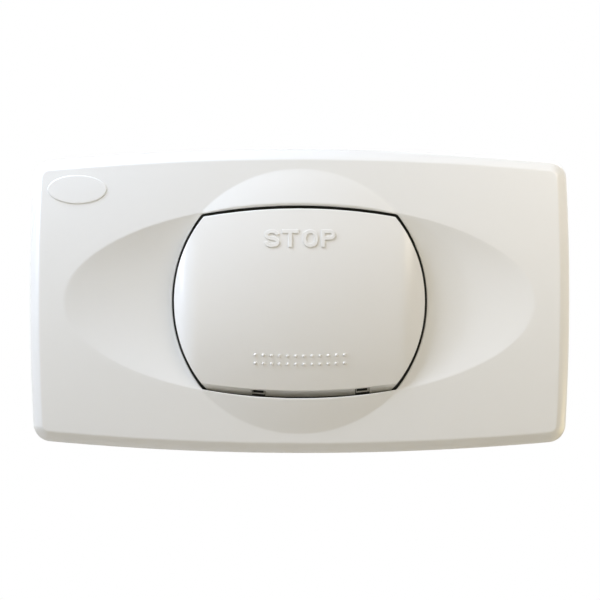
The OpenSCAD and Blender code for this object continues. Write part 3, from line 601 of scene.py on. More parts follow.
@dataclass
class CoverPlate:
    """Moulded cover with rolled rim, oval dish, round bulge, key opening and a bare badge pad."""

    edge_rise: float = 6.6
    side_rise: float = 2.6
    corner_r: float = 9.2
    field_h: float = 14.0
    field_rows: int = 8
    field_land: float = 1.5
    rim_r: float = 10.0
    rim_w: float = 5.5
    rim_blend: float = 0.22
    rim_rows: int = 13
    inner_rows: int = 6
    foot_h: float = 3.0
    foot_edge: float = 0.5
    foot_bend: float = 0.15
    foot_lead: float = 0.2
    wall_t: float = 2.5
    dish_depth: float = 9.0
    dish_margin: float = 18.0
    dish_blend: float = 0.16
    dome_rise: float = 7.7
    dome_blend: float = 0.12
    open_w: float = 127.6
    open_h: float = 96.0
    open_edge_r: float = 280.0
    open_side_r: float = 69.5
    lip_in: float = 0.4
    lip_r: float = 0.55
    top_lip_r: float = 1.6
    top_lip_end: float = 0.86
    lip_rows: int = 6
    face_rows: int = 25
    crease_soft: float = 2.0
    lip_share: float = 0.8
    inner_share: float = 0.12
    outer_share: float = 0.3
    corner_land: float = 0.6
    corner_step: float = 0.8
    column_step: float = 2.0
    badge_w: float = 29.4
    badge_h: float = 14.2
    badge_rise: float = 0.45
    badge_edge: float = 0.42
    badge_sunk: float = 0.3
    badge_inset: float = 24.5
    badge_drop: float = 20.5
    badge_rows: int = 5
    badge_sides: int = 96
    socket_d: float = 9.1
    socket_bore: float = 5.1
    socket_x: float = 101.0
    socket_v: float = 48.0
    socket_sunk: float = 0.4
    socket_lead: float = 0.3
    socket_edge: float = 0.2
    frame_front: float = 3.05
    sharp_deg: float = 50.0

    def __post_init__(self) -> None:
        """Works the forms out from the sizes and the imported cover's box."""
        box = NodeBox.of("cover_plate")
        self.width, self.height = box.width, box.tall
        self.edge_r = arc_radius(self.width / 2, self.edge_rise)
        self.side_r = arc_radius(self.height / 2, self.side_rise)
        self.edge_c = np.array([0, self.height / 2 - self.edge_r])
        self.side_c = np.array([self.width / 2 - self.side_r, 0])
        self.corner_c = circle_meet(self.edge_c, self.edge_r - self.corner_r,
                                    self.side_c, self.side_r - self.corner_r)
        self.rim_c_h = self.field_h - math.sqrt(self.rim_r ** 2 - (self.rim_r - self.rim_w) ** 2)
        corner = circle_meet((0, self.open_h / 2 - self.open_edge_r), self.open_edge_r,
                             (self.open_w / 2 - self.open_side_r, 0), self.open_side_r)
        self.form_corner = corner * (1 + self.corner_land / np.linalg.norm(corner))
        self.dome_r = float(np.linalg.norm(self.form_corner))
        self.ball_r = arc_radius(self.dome_r, self.dome_rise)
        self.dish_half_w = self.width / 2 - self.dish_margin
        dish_half_h = self.form_corner[1] / math.sqrt(1 - (self.form_corner[0] / self.dish_half_w) ** 2)
        self.sweep_r = arc_radius(dish_half_h, self.dish_depth)
        self.dish_arc_r = arc_radius(self.dish_half_w, self.dish_depth)
        self.edge, self.normal = (self.mirrored(part) for part in self.quarter())
        self.ray = self.edge / np.linalg.norm(self.edge, axis=1, keepdims=True)
        self.lean, self.corner_lean = np.abs(self.ray[:, 0]), self.form_corner[0] / self.dome_r
        self.on_corner = np.abs(self.lean - self.corner_lean) < SAME_RAY
        self.on_dome = self.lean < self.corner_lean

    def dome(self, x: np.ndarray, v: np.ndarray) -> np.ndarray:
        """Height of the round bulge."""
        return self.field_h + self.dome_rise - self.ball_r + np.sqrt(self.ball_r ** 2 - x ** 2 - v ** 2)

    def dish(self, x: Values, v: Values) -> Values:
        """Height of the oval dish."""
        turn_r = self.sweep_r - arc_fall(self.dish_arc_r, x)
        return self.field_h + self.sweep_r - self.dish_depth - np.sqrt(turn_r ** 2 - v ** 2)

    def rim(self, out: np.ndarray) -> np.ndarray:
        """Height of the rolled rim at a distance outside the field's edge."""
        across = np.clip(out + self.rim_r - self.rim_w, 0, self.rim_r)
        return self.rim_c_h + np.sqrt(self.rim_r ** 2 - across ** 2)

    def corner_turn(self, centre: np.ndarray) -> float:
        """Direction from an edge's centre to the centre of the plate's rounded corner."""
        across, up = self.corner_c - centre
        return math.atan2(up, across)

    def quarter(self) -> tuple[np.ndarray, np.ndarray]:
        """Walks a quarter of the field's edge, with one station in line with the opening's corner.

        Returns:
            Points of the edge and the outward directions there, from the side's middle to the top's middle.
        """
        ray = self.form_corner / np.linalg.norm(self.form_corner)
        hit = ray * ray_meet(ray @ self.edge_c, self.edge_c[1], self.edge_r - self.rim_w)
        split = math.atan2(hit[1] - self.edge_c[1], hit[0])
        side_end, edge_start = self.corner_turn(self.side_c), self.corner_turn(self.edge_c)
        legs = [(self.side_c, self.side_r, 0.0, side_end, self.column_step),
                (self.corner_c, self.corner_r, side_end, edge_start, self.corner_step),
                (self.edge_c, self.edge_r, edge_start, split, self.column_step),
                (self.edge_c, self.edge_r, split, QUARTER, self.column_step)]
        points, normals = [], []
        for centre, radius, first, last, step in legs:
            angle = np.linspace(first, last, math.ceil(radius * (last - first) / step), endpoint=False)
            normals.append(np.stack([np.cos(angle), np.sin(angle)], axis=-1))
            points.append(centre + (radius - self.rim_w) * normals[-1])
        normals.append(np.array([[0.0, 1.0]]))
        points.append(np.array([[0.0, self.height / 2 - self.rim_w]]))
        return np.concatenate(points), np.concatenate(normals)

    @staticmethod
    def mirrored(quarter: np.ndarray) -> np.ndarray:
        """Carries a quarter of a loop on all round by mirroring it."""
        upper = np.concatenate([quarter, quarter[-2::-1] * (-1, 1)])
        return np.concatenate([upper, upper[-2:0:-1] * (1, -1)])

    def opening(self) -> np.ndarray:
        """Finds the opening's edge.

        Returns:
            Its distance from the middle along each ray.
        """
        level = self.open_h / 2 - self.open_edge_r - np.where(self.ray[:, 1] > 0, self.lip_in, 0.0)
        side = self.open_w / 2 - self.open_side_r
        return np.minimum(ray_meet(np.abs(self.ray[:, 1]) * level, level, self.open_edge_r),
                          ray_meet(self.lean * side, side, self.open_side_r))

    def crease(self) -> np.ndarray:
        """Finds the bulge's or the dish's edge by halving.

        Returns:
            Its distance from the middle along each ray.
        """
        inside, outside = 0.9, 1.02
        low = np.full(len(self.ray), inside * self.dome_r)
        high = np.full(len(self.ray), outside * self.dish_half_w)
        for _ in range(CREASE_STEPS):
            middle = (low + high) / 2
            deep = self.dish(middle * self.ray[:, 0], middle * self.ray[:, 1]) < self.field_h
            low, high = np.where(deep, middle, low), np.where(deep, high, middle)
        return np.where(self.on_dome, self.dome_r, low)

    def front(self, x: np.ndarray, v: np.ndarray) -> np.ndarray:
        """Finds the height of the front face inside the rim.

        Args:
            x: Places across, one column for each ray.
            v: Places up.

        Returns:
            The heights.
        """
        field_h = np.full_like(x, self.field_h)
        raised = soft_higher(field_h, self.dome(x, v), self.dome_blend)
        sunk = soft_lower(field_h, self.dish(x, v), self.dish_blend)
        return np.where(self.on_corner, field_h, np.where(self.on_dome, raised, sunk))

    def front_rows(self) -> np.ndarray:
        """Lays out the front face: the opening's rounded lip, bulge and dish, their crease and the field.

        Returns:
            Points of each row round the plate.
        """
        start, bend = self.opening(), self.crease()
        span = bend - start
        land = self.edge - self.field_land * self.normal
        rolled = np.interp(self.lean, [self.top_lip_end * self.corner_lean, self.corner_lean],
                           [self.top_lip_r, self.lip_r])
        lip = np.minimum(np.where(self.ray[:, 1] > 0, rolled, self.lip_r), self.lip_share * span)
        inner_soft = np.minimum(self.crease_soft, self.inner_share * span)
        outer_soft = np.minimum(self.crease_soft, self.outer_share * (np.linalg.norm(land, axis=1) - bend))
        turn = np.linspace(0, QUARTER, self.lip_rows)[:, None]
        face = np.linspace(0, 1, self.face_rows + 1)[1:, None]
        across = np.array(CREASE_SHARES)[:, None]
        reach = np.concatenate([
            start + lip * (1 - np.cos(turn)), start + lip + face * (span - lip - inner_soft),
            bend + np.where(across < 0, inner_soft, outer_soft) * across])
        inner = reach[..., None] * self.ray
        outward = np.linspace(0, 1, self.field_rows + 1)[1:, None, None]
        plan = np.concatenate([inner, inner[-1] + outward * (land - inner[-1])])
        height = self.front(plan[..., 0], plan[..., 1])
        height[:self.lip_rows] -= lip * (1 - np.sin(turn))
        return np.concatenate([plan, height[..., None]], axis=-1)

    def rim_profile(self) -> list[Pair]:
        """Lays out the rim's section: the roll, the foot on the wall and the inside.

        Returns:
            Distance outside the field's edge and height of each row.
        """
        in_r, foot_in = self.rim_r - self.wall_t, self.rim_w - self.wall_t
        first = math.acos((RIM_STARTS[-1] + self.rim_r - self.rim_w) / self.rim_r)
        turn = np.linspace(first, 0, self.rim_rows + 1)[1:]
        outs = np.concatenate([RIM_STARTS, self.rim_r * np.cos(turn) - self.rim_r + self.rim_w])
        roll = soft_lower(np.full(len(outs), self.field_h), self.rim(outs), self.rim_blend)
        edge, bend, lead = self.foot_edge, self.foot_bend, self.foot_lead
        foot = [(self.rim_w, self.foot_h), (self.rim_w, edge), (self.rim_w - bend, bend),
                (self.rim_w - edge, 0.0), (foot_in + lead, 0.0), (foot_in, lead)]
        rise = np.linspace(0, math.asin((self.field_h - self.wall_t - self.rim_c_h) / in_r), self.inner_rows)
        inside = zip(in_r * np.cos(rise) - self.rim_r + self.rim_w, self.rim_c_h + in_r * np.sin(rise))
        return [*zip(outs, roll), *foot, *inside]

    def shell(self) -> Piece:
        """Builds the cover's mesh with its four peg sockets.

        Returns:
            The cover's object.
        """
        front = self.front_rows()
        rim = [np.column_stack([self.edge + out * self.normal, np.full(len(self.edge), height)])
               for out, height in self.rim_profile()]
        back = front[list(BACK_ROWS)]
        back[..., 2] = self.front(back[..., 0], back[..., 1]) - self.wall_t
        sketch = MeshSketch()
        sketch.body(np.concatenate([front, rim, back]), looped=True)
        bore, outer, foot = self.socket_bore / 2, self.socket_d / 2, self.frame_front
        lead, edge = self.socket_lead, self.socket_edge
        for place in four_places(self.socket_x, self.socket_v):
            top = min(float(self.dish(*place)), self.field_h) - self.wall_t + self.socket_sunk
            sketch.turned([(bore + lead, foot), (outer - edge, foot), (outer, foot + edge), (outer, top),
                           (bore, top), (bore, foot + lead)], place, looped=True)
        return sketch.make("cover_shell", self.sharp_deg)

    def badge(self) -> Piece:
        """Builds the bare oval pad at the upper left.

        Returns:
            The pad's object.
        """
        rise, edge = self.badge_rise, self.badge_edge
        turn = np.linspace(0, QUARTER, self.badge_rows + 1)[1:]
        rings = [(0.0, -self.badge_sunk), (0.0, rise - edge),
                 *zip(edge * (1 - np.cos(turn)), rise - edge * (1 - np.sin(turn))),
                 *((inset, rise + crown) for inset, crown in BADGE_CROWN)]
        unit = circle((0, 0), 1, full_turn(self.badge_sides), 0)
        x, v = self.badge_inset - self.width / 2, self.height / 2 - self.badge_drop
        half = np.array([self.badge_w, self.badge_h]) / 2
        sketch = MeshSketch()
        sketch.body(np.stack([unit * (*(half - inset), 1) + (x, v, self.field_h + height)
                              for inset, height in rings]))
        return sketch.make("badge_pad", self.sharp_deg)

    def build(self) -> None:
        """Builds the cover and its pad and sets them on the wall unit."""
        fit(self.shell(), "wall_unit", COVER_WHITE, "cover_plate")
        fit(self.badge(), "wall_unit", COVER_WHITE)


# Distances of the key's closest rows and columns from its edges.
EDGE_STATIONS = (0, 0.06, 0.14, 0.25, 0.38, 0.5, 0.75, 1.2, 1.9, 2.9, 4.2)
# Depths of the rows in the key's walls; the first is the windows' upper edge.
WALL_DEPTHS = (0.18, 0.45, 0.72, 1.0)
# Radii of a dot's rings as shares of its own; the first ring is its foot, sunk into the face.
DOT_SHARES = (1.0, 1.0, 0.97, 0.9, 0.78, 0.62, 0.44, 0.25, 0.1)


@dataclass
class RockerKey:
    """Cushion-shaped key with rolled sides, lower bevel, latch windows, tactile dots and a raised legend."""

    top: float = 46.1
    bottom: float = 44.2
    skirt: float = 47.8
    side: float = 62.5
    side_r: float = 66.6
    edge_r: float = 280.0
    crown_h: float = 21.5
    fall_v: float = 3.9
    fall_side: float = 3.2
    crease_x: float = 51.5
    crease_slope: float = 12.0
    side_h: float = 11.0
    bevel_h: float = 11.0
    bevel_bow: float = 1.6
    shell_t: float = 2.2
    back_h: float = 4.2
    back_slope: float = 8.5
    lip_r: float = 0.5
    low_lip_r: float = 0.2
    side_lip_r: float = 0.35
    grid_step: float = 2.4
    mark_gap: float = 0.008
    window_x: Pair = (-20.3, 31.3)
    window_w: float = 6.8
    window_top: float = 15.7
    window_land: float = 0.05
    straight_x: float = 36.0
    lean_run: float = 10.0
    hook_w: float = 6.3
    hook_h: Pair = (12.25, 12.7)
    hook_t: float = 0.26
    hook_edge: Pair = (0.06, 0.08)
    hook_foot: float = 10.2
    leg_w: float = 0.6
    leg_t: float = 0.6
    leg_front: float = 0.3
    leg_reach: float = 2.4
    leg_lap: float = 0.1
    dot_count: int = 12
    dot_pitch: float = 4.01
    dot_shift: float = 0.4
    dot_row_gap: float = 4.15
    dot_drop: float = 26.9
    dot_row_r: float = 400.0
    dot_r: float = 0.8
    dot_rise: float = 0.85
    dot_bow: float = 4.0
    dot_sunk: float = 0.25
    dot_sides: int = 28
    post_x: float = 20.0
    post_v: float = 18.0
    post_d: float = 6.0
    post_edge: float = 0.25
    post_sunk: float = 0.5
    carrier_front: float = 14.7

    def __post_init__(self) -> None:
        """Works the face out from the sizes."""
        self.sweep_r = arc_radius(self.top, self.fall_v)
        self.axis_h = self.crown_h - self.sweep_r
        self.arc_r = arc_radius(self.crease_x, self.fall_side)
        crease_h = self.crown_h - self.fall_side
        slope = math.radians(self.crease_slope)
        step = np.array([self.side - self.crease_x, self.side_h - crease_h])
        inward = np.array([-math.sin(slope), -math.cos(slope)])
        self.roll_r = float(step @ step / (2 * step @ inward))
        self.roll_c = np.array([self.crease_x, crease_h]) + self.roll_r * inward
        self.bottom_h = self.axis_h + math.sqrt(self.sweep_r ** 2 - self.bottom ** 2)

    def face(self, x: Values, v: Values, inset: float = 0.0) -> Values:
        """Finds the height of the key's face.

        Args:
            x: Places across.
            v: Places up.
            inset: Distance inside the outer skin.

        Returns:
            The heights.
        """
        across = np.minimum(np.abs(x), self.side)
        arc = arc_fall(self.arc_r, np.minimum(across, self.crease_x))
        below = np.sqrt(np.maximum(self.roll_r ** 2 - (across - self.roll_c[0]) ** 2, 0))
        fall = np.where(across <= self.crease_x, arc, self.crown_h - self.roll_c[1] - below)
        return self.axis_h + np.sqrt((self.sweep_r - inset - fall) ** 2 - v ** 2)

    def half_width(self, v: np.ndarray, inset: float) -> np.ndarray:
        """Distance from the middle to the flank."""
        return self.side - self.side_r + np.sqrt((self.side_r - inset) ** 2 - v ** 2)

    def upper(self, x: np.ndarray, inset: float) -> np.ndarray:
        """Place of the upper edge."""
        return self.top - self.edge_r + np.sqrt((self.edge_r - inset) ** 2 - x ** 2)

    def bevel(self, x: Values, h: Values, inset: float = 0.0) -> Values:
        """Finds the place of the lower bevel, which is steepest at its upper edge.

        Args:
            x: Places across.
            h: Heights.
            inset: Distance inside the outer skin.

        Returns:
            The places up.
        """
        depth = (self.bottom_h - np.clip(h, self.bevel_h, self.bottom_h)) / (self.bottom_h - self.bevel_h)
        radius = self.edge_r - inset + (self.skirt - self.bottom) * depth ** self.bevel_bow
        return self.edge_r - self.bottom - np.sqrt(radius ** 2 - x ** 2)

    def back(self, v: np.ndarray) -> np.ndarray:
        """Height of the key's back edge."""
        return self.back_h + np.abs(v) * math.tan(math.radians(self.back_slope))

    def stations(self) -> tuple[np.ndarray, np.ndarray]:
        """Spreads the columns and rows, close together near the edges and with columns on the windows' sides.

        Returns:
            Columns from -1 to 1 and rows from 0 to 1.
        """
        columns = graded(2 * self.side, EDGE_STATIONS, self.grid_step) * 2 - 1
        sides = np.array([x + sign * self.window_w / 2 for x in self.window_x for sign in (-1, 1)])
        marks = sides / self.half_width(self.bevel(sides, self.bottom_h), 0)
        columns = [c for c in columns if np.abs(c - marks).min() > self.mark_gap]
        rows = graded(self.top + self.bottom, EDGE_STATIONS, self.grid_step)
        return np.sort(np.concatenate([columns, marks])), rows

    def face_grid(self, columns: np.ndarray, rows: np.ndarray, inset: float) -> tuple[np.ndarray, np.ndarray]:
        """Lays out the face between its bowed edges, which are settled step by step.

        Args:
            columns: Stations across, from -1 to 1.
            rows: Stations up, from 0 to 1.
            inset: Distance inside the outer skin, which alone has rounded edges.

        Returns:
            Points of the face (rows, columns) and the station across of each.
        """
        low_lip = 0.0 if inset else self.low_lip_r
        u, w = np.meshgrid(columns, rows)
        v, edge_h = (w - 0.5) * (self.top + self.bottom), self.bottom_h
        for _ in range(FACE_STEPS):
            x = u * self.half_width(v, inset)
            low = self.bevel(x, edge_h, inset)
            edge_h = self.face(x, low, inset) - low_lip
            tall = self.upper(x, inset) - low
            v = low + w * tall
        h = self.face(x, v, inset)
        if not inset:
            h = h - np.max([edge_drop((1 - w) * tall, self.lip_r), edge_drop(w * tall, low_lip),
                            edge_drop((1 - np.abs(u)) * self.half_width(v, inset), self.side_lip_r)], axis=0)
        return np.stack([x, v, h], axis=-1), u

    def walls(self, face: np.ndarray, u: np.ndarray, inset: float) -> np.ndarray:
        """Hangs the walls from the face's edge, settled step by step where they follow the bevel.

        Args:
            face: Points of the face.
            u: Station across of each.
            inset: Distance inside the outer skin.

        Returns:
            Points of the walls (depth, round the edge).
        """
        edge_x, edge_v, edge_h = border(face).T
        edge_u = border(u)
        lower = np.arange(len(edge_x)) < face.shape[1]
        lean = np.clip((np.abs(edge_x) - self.straight_x) / self.lean_run, 0, 1)
        first = np.minimum(self.window_top, edge_h - self.window_land)
        rows = []
        for depth in WALL_DEPTHS:
            share = (depth - WALL_DEPTHS[0]) / (1 - WALL_DEPTHS[0])
            x, v = edge_x, edge_v
            for _ in range(WALL_STEPS):
                foot = self.back(v)
                h = np.where(lower, first + share * (foot - first), edge_h + depth * (foot - edge_h))
                v = np.where(lower, self.bevel(x, h, inset), edge_v)
                flank = np.where(lower, edge_u * self.half_width(v, inset), edge_x)
                x = edge_x + lean * (flank - edge_x)
            rows.append(np.stack([x, v, h], axis=-1))
        return np.stack(rows)

    def in_windows(self, columns: np.ndarray, around: int) -> np.ndarray:
        """Marks the wall's stretches that lie in a latch window.

        Args:
            columns: Stations across, from -1 to 1.
            around: Number of stretches round the edge, starting along the bevel.

        Returns:
            One truth value for each stretch.
        """
        reach = self.half_width(self.bevel(columns * self.bottom, self.window_top), 0)
        middle = (columns[:-1] + columns[1:]) / 2 * (reach[:-1] + reach[1:]) / 2
        marked = np.zeros(around, bool)
        for x in self.window_x:
            marked[:len(middle)] |= np.abs(middle - x) < self.window_w / 2
        return marked

    def shell(self) -> Piece:
        """Builds the hollow key with its two latch windows and its inner posts.

        Returns:
            The key's object.
        """
        columns, rows = self.stations()
        sketch = MeshSketch()
        skins = []
        for inset in (0.0, self.shell_t):
            face, u = self.face_grid(columns, rows, inset)
            numbers = sketch.add(face)
            sketch.weave(numbers)
            skins.append(np.concatenate([border(numbers)[None], sketch.add(self.walls(face, u, inset))]))
        here, there = np.stack(skins), np.roll(skins, -1, axis=2)
        window = self.in_windows(columns, here.shape[2])
        wall, jamb = ~window, window != np.roll(window, 1)
        for a, b in zip(here, there):
            sketch.quads(a[0], b[0], b[1], a[1])
            sketch.quads(a[1:-1, wall], b[1:-1, wall], b[2:, wall], a[2:, wall])
        for row, part in ((-1, wall), (1, window)):
            sketch.quads(here[0, row, part], there[0, row, part], there[1, row, part], here[1, row, part])
        outer, inner = here[..., jamb]
        sketch.quads(outer[1:-1], outer[2:], inner[2:], inner[1:-1])
        for place in four_places(self.post_x, self.post_v):
            radius, head = self.post_d / 2, float(self.face(*place, self.shell_t)) + self.post_sunk
            sketch.turned([(radius - self.post_edge, self.carrier_front),
                           (radius, self.carrier_front + self.post_edge), (radius, head)], place)
        return sketch.make("key_shell", sharp_deg=42)

    def dots(self) -> Piece:
        """Builds the two rows of tactile dots.

        Returns:
            The dots' object.
        """
        angle, share = full_turn(self.dot_sides), np.array(DOT_SHARES)[:, None]
        rise = self.dot_rise * (1 - share ** self.dot_bow)
        rise[0] -= self.dot_sunk
        sketch = MeshSketch()
        for row, i in np.ndindex(2, self.dot_count):
            x = (i - (self.dot_count - 1) / 2) * self.dot_pitch + self.dot_shift
            v = -self.dot_drop - row * self.dot_row_gap + arc_fall(self.dot_row_r, x)
            rings = circle((x, v), self.dot_r * share, angle, rise)
            rings[..., 2] += self.face(rings[..., 0], rings[..., 1])
            sketch.body(rings)
        return sketch.make("tactile_dots", sharp_deg=60)

    def bar(self, x: float) -> list[Pair]:
        """Gives the section of a latch bar, which lies in the bevel's surface.

        Args:
            x: Place across.

        Returns:
            Place up and height of each corner.
        """
        low, high = self.hook_h
        foot, head = self.bevel(x, np.array(self.hook_h))
        under, over = self.hook_edge
        return [(foot + under, low), (foot, low + under), (head, high - over), (head + over, high),
                (head + self.hook_t, high), (head + self.hook_t, low)]

    def leg(self, x: float) -> list[Pair]:
        """Gives the section of a latch leg, which runs down from the bar and in to the tongue.

        Args:
            x: Place across.

        Returns:
            Place up and height of each corner.
        """
        low, high = self.hook_h
        back, foot, head = float(self.bevel(x, high)) + self.hook_t, self.hook_foot, low + self.leg_lap
        front, end, bend = back - self.leg_front, back + self.leg_reach, foot + self.leg_t
        return [(back, head), (front, head), (front, foot), (end, foot), (end, bend), (back, bend)]

    def loops(self) -> Piece:
        """Builds the latch loops at the tongues' ends: a bar across each window, carried by two legs.

        Returns:
            The loops' object.
        """
        sketch = MeshSketch()
        for middle in self.window_x:
            left, right = middle - self.hook_w / 2, middle + self.hook_w / 2
            for near, far, section in ((left, right, self.bar), (left, left + self.leg_w, self.leg),
                                       (right - self.leg_w, right, self.leg)):
                sketch.body(np.array([[(x, *corner) for corner in section(x)] for x in (near, far)]))
        return sketch.make("latch_loops", sharp_deg=40)

    def build(self) -> None:
        """Builds the key, its dots, latch loops and legend and sets them on the key's body."""
        fit(self.shell(), "key", KEY_WHITE, "rocker_key")
        for piece in (self.dots(), self.loops(), Legend(self.face).build()):
            fit(piece, "key", KEY_WHITE)


@dataclass
class Legend:
    """Raised block letters of the function word above the key's middle."""

    face: Callable[[np.ndarray, np.ndarray], np.ndarray]
    foot: float = 26.9
    tall: float = 8.7
    stroke: float = 1.85
    rise: float = 0.6
    sunk: float = 0.3
    edge: float = 0.15
    s_span: Pair = (-17.5, -9.7)
    t_span: Pair = (-8.6, -0.3)
    o_span: Pair = (1.6, 9.3)
    o_bow: float = 0.88
    o_sides: int = 56
    p_span: Pair = (10.85, 17.8)
    p_waist: float = 0.42
    p_points: int = 20

    def middle(self, span: Pair) -> np.ndarray:
        """Middle of the letter that fills a span."""
        return np.array([(span[0] + span[1]) / 2, self.foot + self.tall / 2])

    def curve(self, knots: Sequence[Sequence[Pair]], steps: int = 10) -> np.ndarray:
        """Samples a chain of cubic curves.

        Args:
            knots: Four control points of each curve.
            steps: Points on each curve.

        Returns:
            The points.
        """
        t = np.linspace(0, 1, steps, endpoint=False)[:, None]
        parts = [(1 - t) ** 3 * a + 3 * t * (1 - t) ** 2 * b + 3 * t ** 2 * (1 - t) * c + t ** 3 * d
                 for a, b, c, d in np.array(knots, float)]
        return np.concatenate([*parts, np.array([knots[-1][-1]], float)])

    def letter_s(self) -> list[np.ndarray]:
        """Draws the first letter, a stroke along a double bend.

        Returns:
            Its outline.
        """
        a = (self.s_span[1] - self.s_span[0] - self.stroke) / 2
        b = (self.tall - self.stroke) / 2
        path = self.middle(self.s_span) + (a, b) * self.curve([
            ((0.95, 0.50), (0.86, 0.84), (0.50, 1), (0, 1)),
            ((0, 1), (-0.56, 1), (-0.95, 0.84), (-0.95, 0.50)),
            ((-0.95, 0.50), (-0.95, 0.14), (-0.50, 0.10), (0, 0)),
            ((0, 0), (0.55, -0.10), (1, -0.16), (1, -0.51)),
            ((1, -0.51), (1, -0.84), (0.56, -1), (0, -1)),
            ((0, -1), (-0.54, -1), (-0.92, -0.84), (-1, -0.48))])
        along = np.gradient(path, axis=0)
        along /= np.linalg.norm(along, axis=1, keepdims=True)
        out = np.stack([along[:, 1], -along[:, 0]], axis=-1) * self.stroke / 2
        return [np.concatenate([path + out, (path - out)[::-1]])]

    def letter_t(self) -> list[np.ndarray]:
        """Draws the second letter, a bar on a stem.

        Returns:
            Its outline.
        """
        left, right = self.t_span
        head, low, half = self.foot + self.tall, self.foot, self.stroke / 2
        middle, under = (left + right) / 2, head - self.stroke
        return [np.array([(left, head), (left, under), (middle - half, under), (middle - half, low),
                          (middle + half, low), (middle + half, under), (right, under), (right, head)])]

    def letter_o(self) -> list[np.ndarray]:
        """Draws the third letter, an oval ring.

        Returns:
            Its outlines.
        """
        unit = circle((0, 0), 1, full_turn(self.o_sides), 0)[:, :2]
        bent = np.sign(unit) * np.abs(unit) ** self.o_bow
        half = np.array([self.o_span[1] - self.o_span[0], self.tall]) / 2
        return [self.middle(self.o_span) + (half - inset) * bent for inset in (0.0, self.stroke)]

    def letter_p(self) -> list[np.ndarray]:
        """Draws the fourth letter, a stem with a bowl.

        Returns:
            Its outlines.
        """
        left, right = self.p_span
        low, head, waist = self.foot, self.foot + self.tall, self.foot + self.p_waist * self.tall
        stem, bowl_r = left + self.stroke, (head - waist) / 2
        turn = np.linspace(QUARTER, -QUARTER, self.p_points)
        outer, inner = (circle((right - bowl_r, (head + waist) / 2), radius, turn, 0)[:, :2]
                        for radius in (bowl_r, bowl_r - self.stroke))
        return [np.concatenate([[(left, low), (left, head)], outer, [(stem, waist), (stem, low)]]),
                np.concatenate([[(stem, head - self.stroke)], inner, [(stem, waist + self.stroke)]])]

    def build(self) -> Piece:
        """Fills the outlines, chamfers their edges and lays them on the key's face.

        Returns:
            The legend's object.
        """
        drawn = bpy.data.curves.new("legend_outline", "CURVE")
        drawn.dimensions, drawn.fill_mode = "2D", "BOTH"
        drawn.extrude = (self.rise + self.sunk) / 2 - self.edge
        drawn.bevel_depth, drawn.bevel_resolution, drawn.offset = self.edge, 0, -self.edge
        for loop in self.letter_s() + self.letter_t() + self.letter_o() + self.letter_p():
            spline = drawn.splines.new("POLY")
            spline.points.add(len(loop) - 1)
            corners = np.concatenate([loop, np.full((len(loop), 2), (0, 1))], axis=1)
            spline.points.foreach_set("co", corners.ravel())
            spline.use_cyclic_u = True
        holder = bpy.data.objects.new("legend_outline", drawn)
        bpy.context.scene.collection.objects.link(holder)
        mesh = bpy.data.meshes.new_from_object(holder.evaluated_get(bpy.context.evaluated_depsgraph_get()))
        bpy.data.objects.remove(holder)
        flat = np.zeros(len(mesh.vertices) * 3)
        mesh.vertices.foreach_get("co", flat)
        x, v, h = flat.reshape(-1, 3).T
        lift = self.face(x, v) + h + (self.rise - self.sunk) / 2
        mesh.vertices.foreach_set("co", (np.stack([x, -lift, v], axis=-1) * MM).ravel())
        piece = finish_mesh(mesh, "key_legend", sharp_deg=40)
        keep_flat(piece)
        return piece


@dataclass(frozen=True)
class Thread:
    """A screw thread cut along the wall's normal."""

    pitch: float = 1.0
    depth: float = 0.5
    flank: float = 1.5
    crest: float = 0.25
    end_step: float = 0.15
    rows: int = 7
    sides: int = 28

    def cut(self, sketch: MeshSketch, centre: Place, near: float, far: float, radius: float) -> None:
        """Adds a threaded bar with chamfered ends.

        Args:
            sketch: Sketch that takes the bar.
            centre: Place of the axis.
            near: Height of the end in the wall.
            far: Height of the other end.
            radius: Radius over the crests.
        """
        angle = full_turn(self.sides)
        heights = np.linspace(near, far, math.ceil((far - near) / self.pitch * self.rows) + 1)[:, None]
        phase = (heights / self.pitch + angle / (2 * math.pi)) % 1
        groove = np.clip(self.flank * np.abs(2 * phase - 1) - self.crest, 0, 1)
        chamfer = radius - self.depth - self.end_step + np.minimum(heights - near, far - heights)
        sketch.body(circle(centre, np.minimum(radius - self.depth * groove, chamfer), angle, heights))


@dataclass(frozen=True)
class HexNut:
    """A six-sided nut with turned corners and a chamfered bore."""

    across: float
    bore: float
    bore_edge: float = 0.4
    face_share: float = 0.95
    turned_deg: float = 30.0
    sides: int = 72

    def add(self, sketch: MeshSketch, centre: Place, near: float, far: float) -> None:
        """Adds the nut along the wall's normal.

        Args:
            sketch: Sketch that takes the nut.
            centre: Place of the axis.
            near: Height of the face nearer the wall.
            far: Height of the other face.
        """
        angle, sixth = full_turn(self.sides), math.pi / 3
        flat = self.across / 2 / np.cos((angle + sixth / 2) % sixth - sixth / 2)
        ring, edge = self.across / 2 * self.face_share, self.bore_edge
        cut = (flat - ring) * math.tan(math.radians(self.turned_deg))
        rows = [(ring, near), (flat, near + cut), (flat, far - cut), (ring, far), (self.bore + edge, far),
                (self.bore, far - edge), (self.bore, near + edge), (self.bore + edge, near)]
        sketch.turned(rows, centre, looped=True, sides=self.sides)


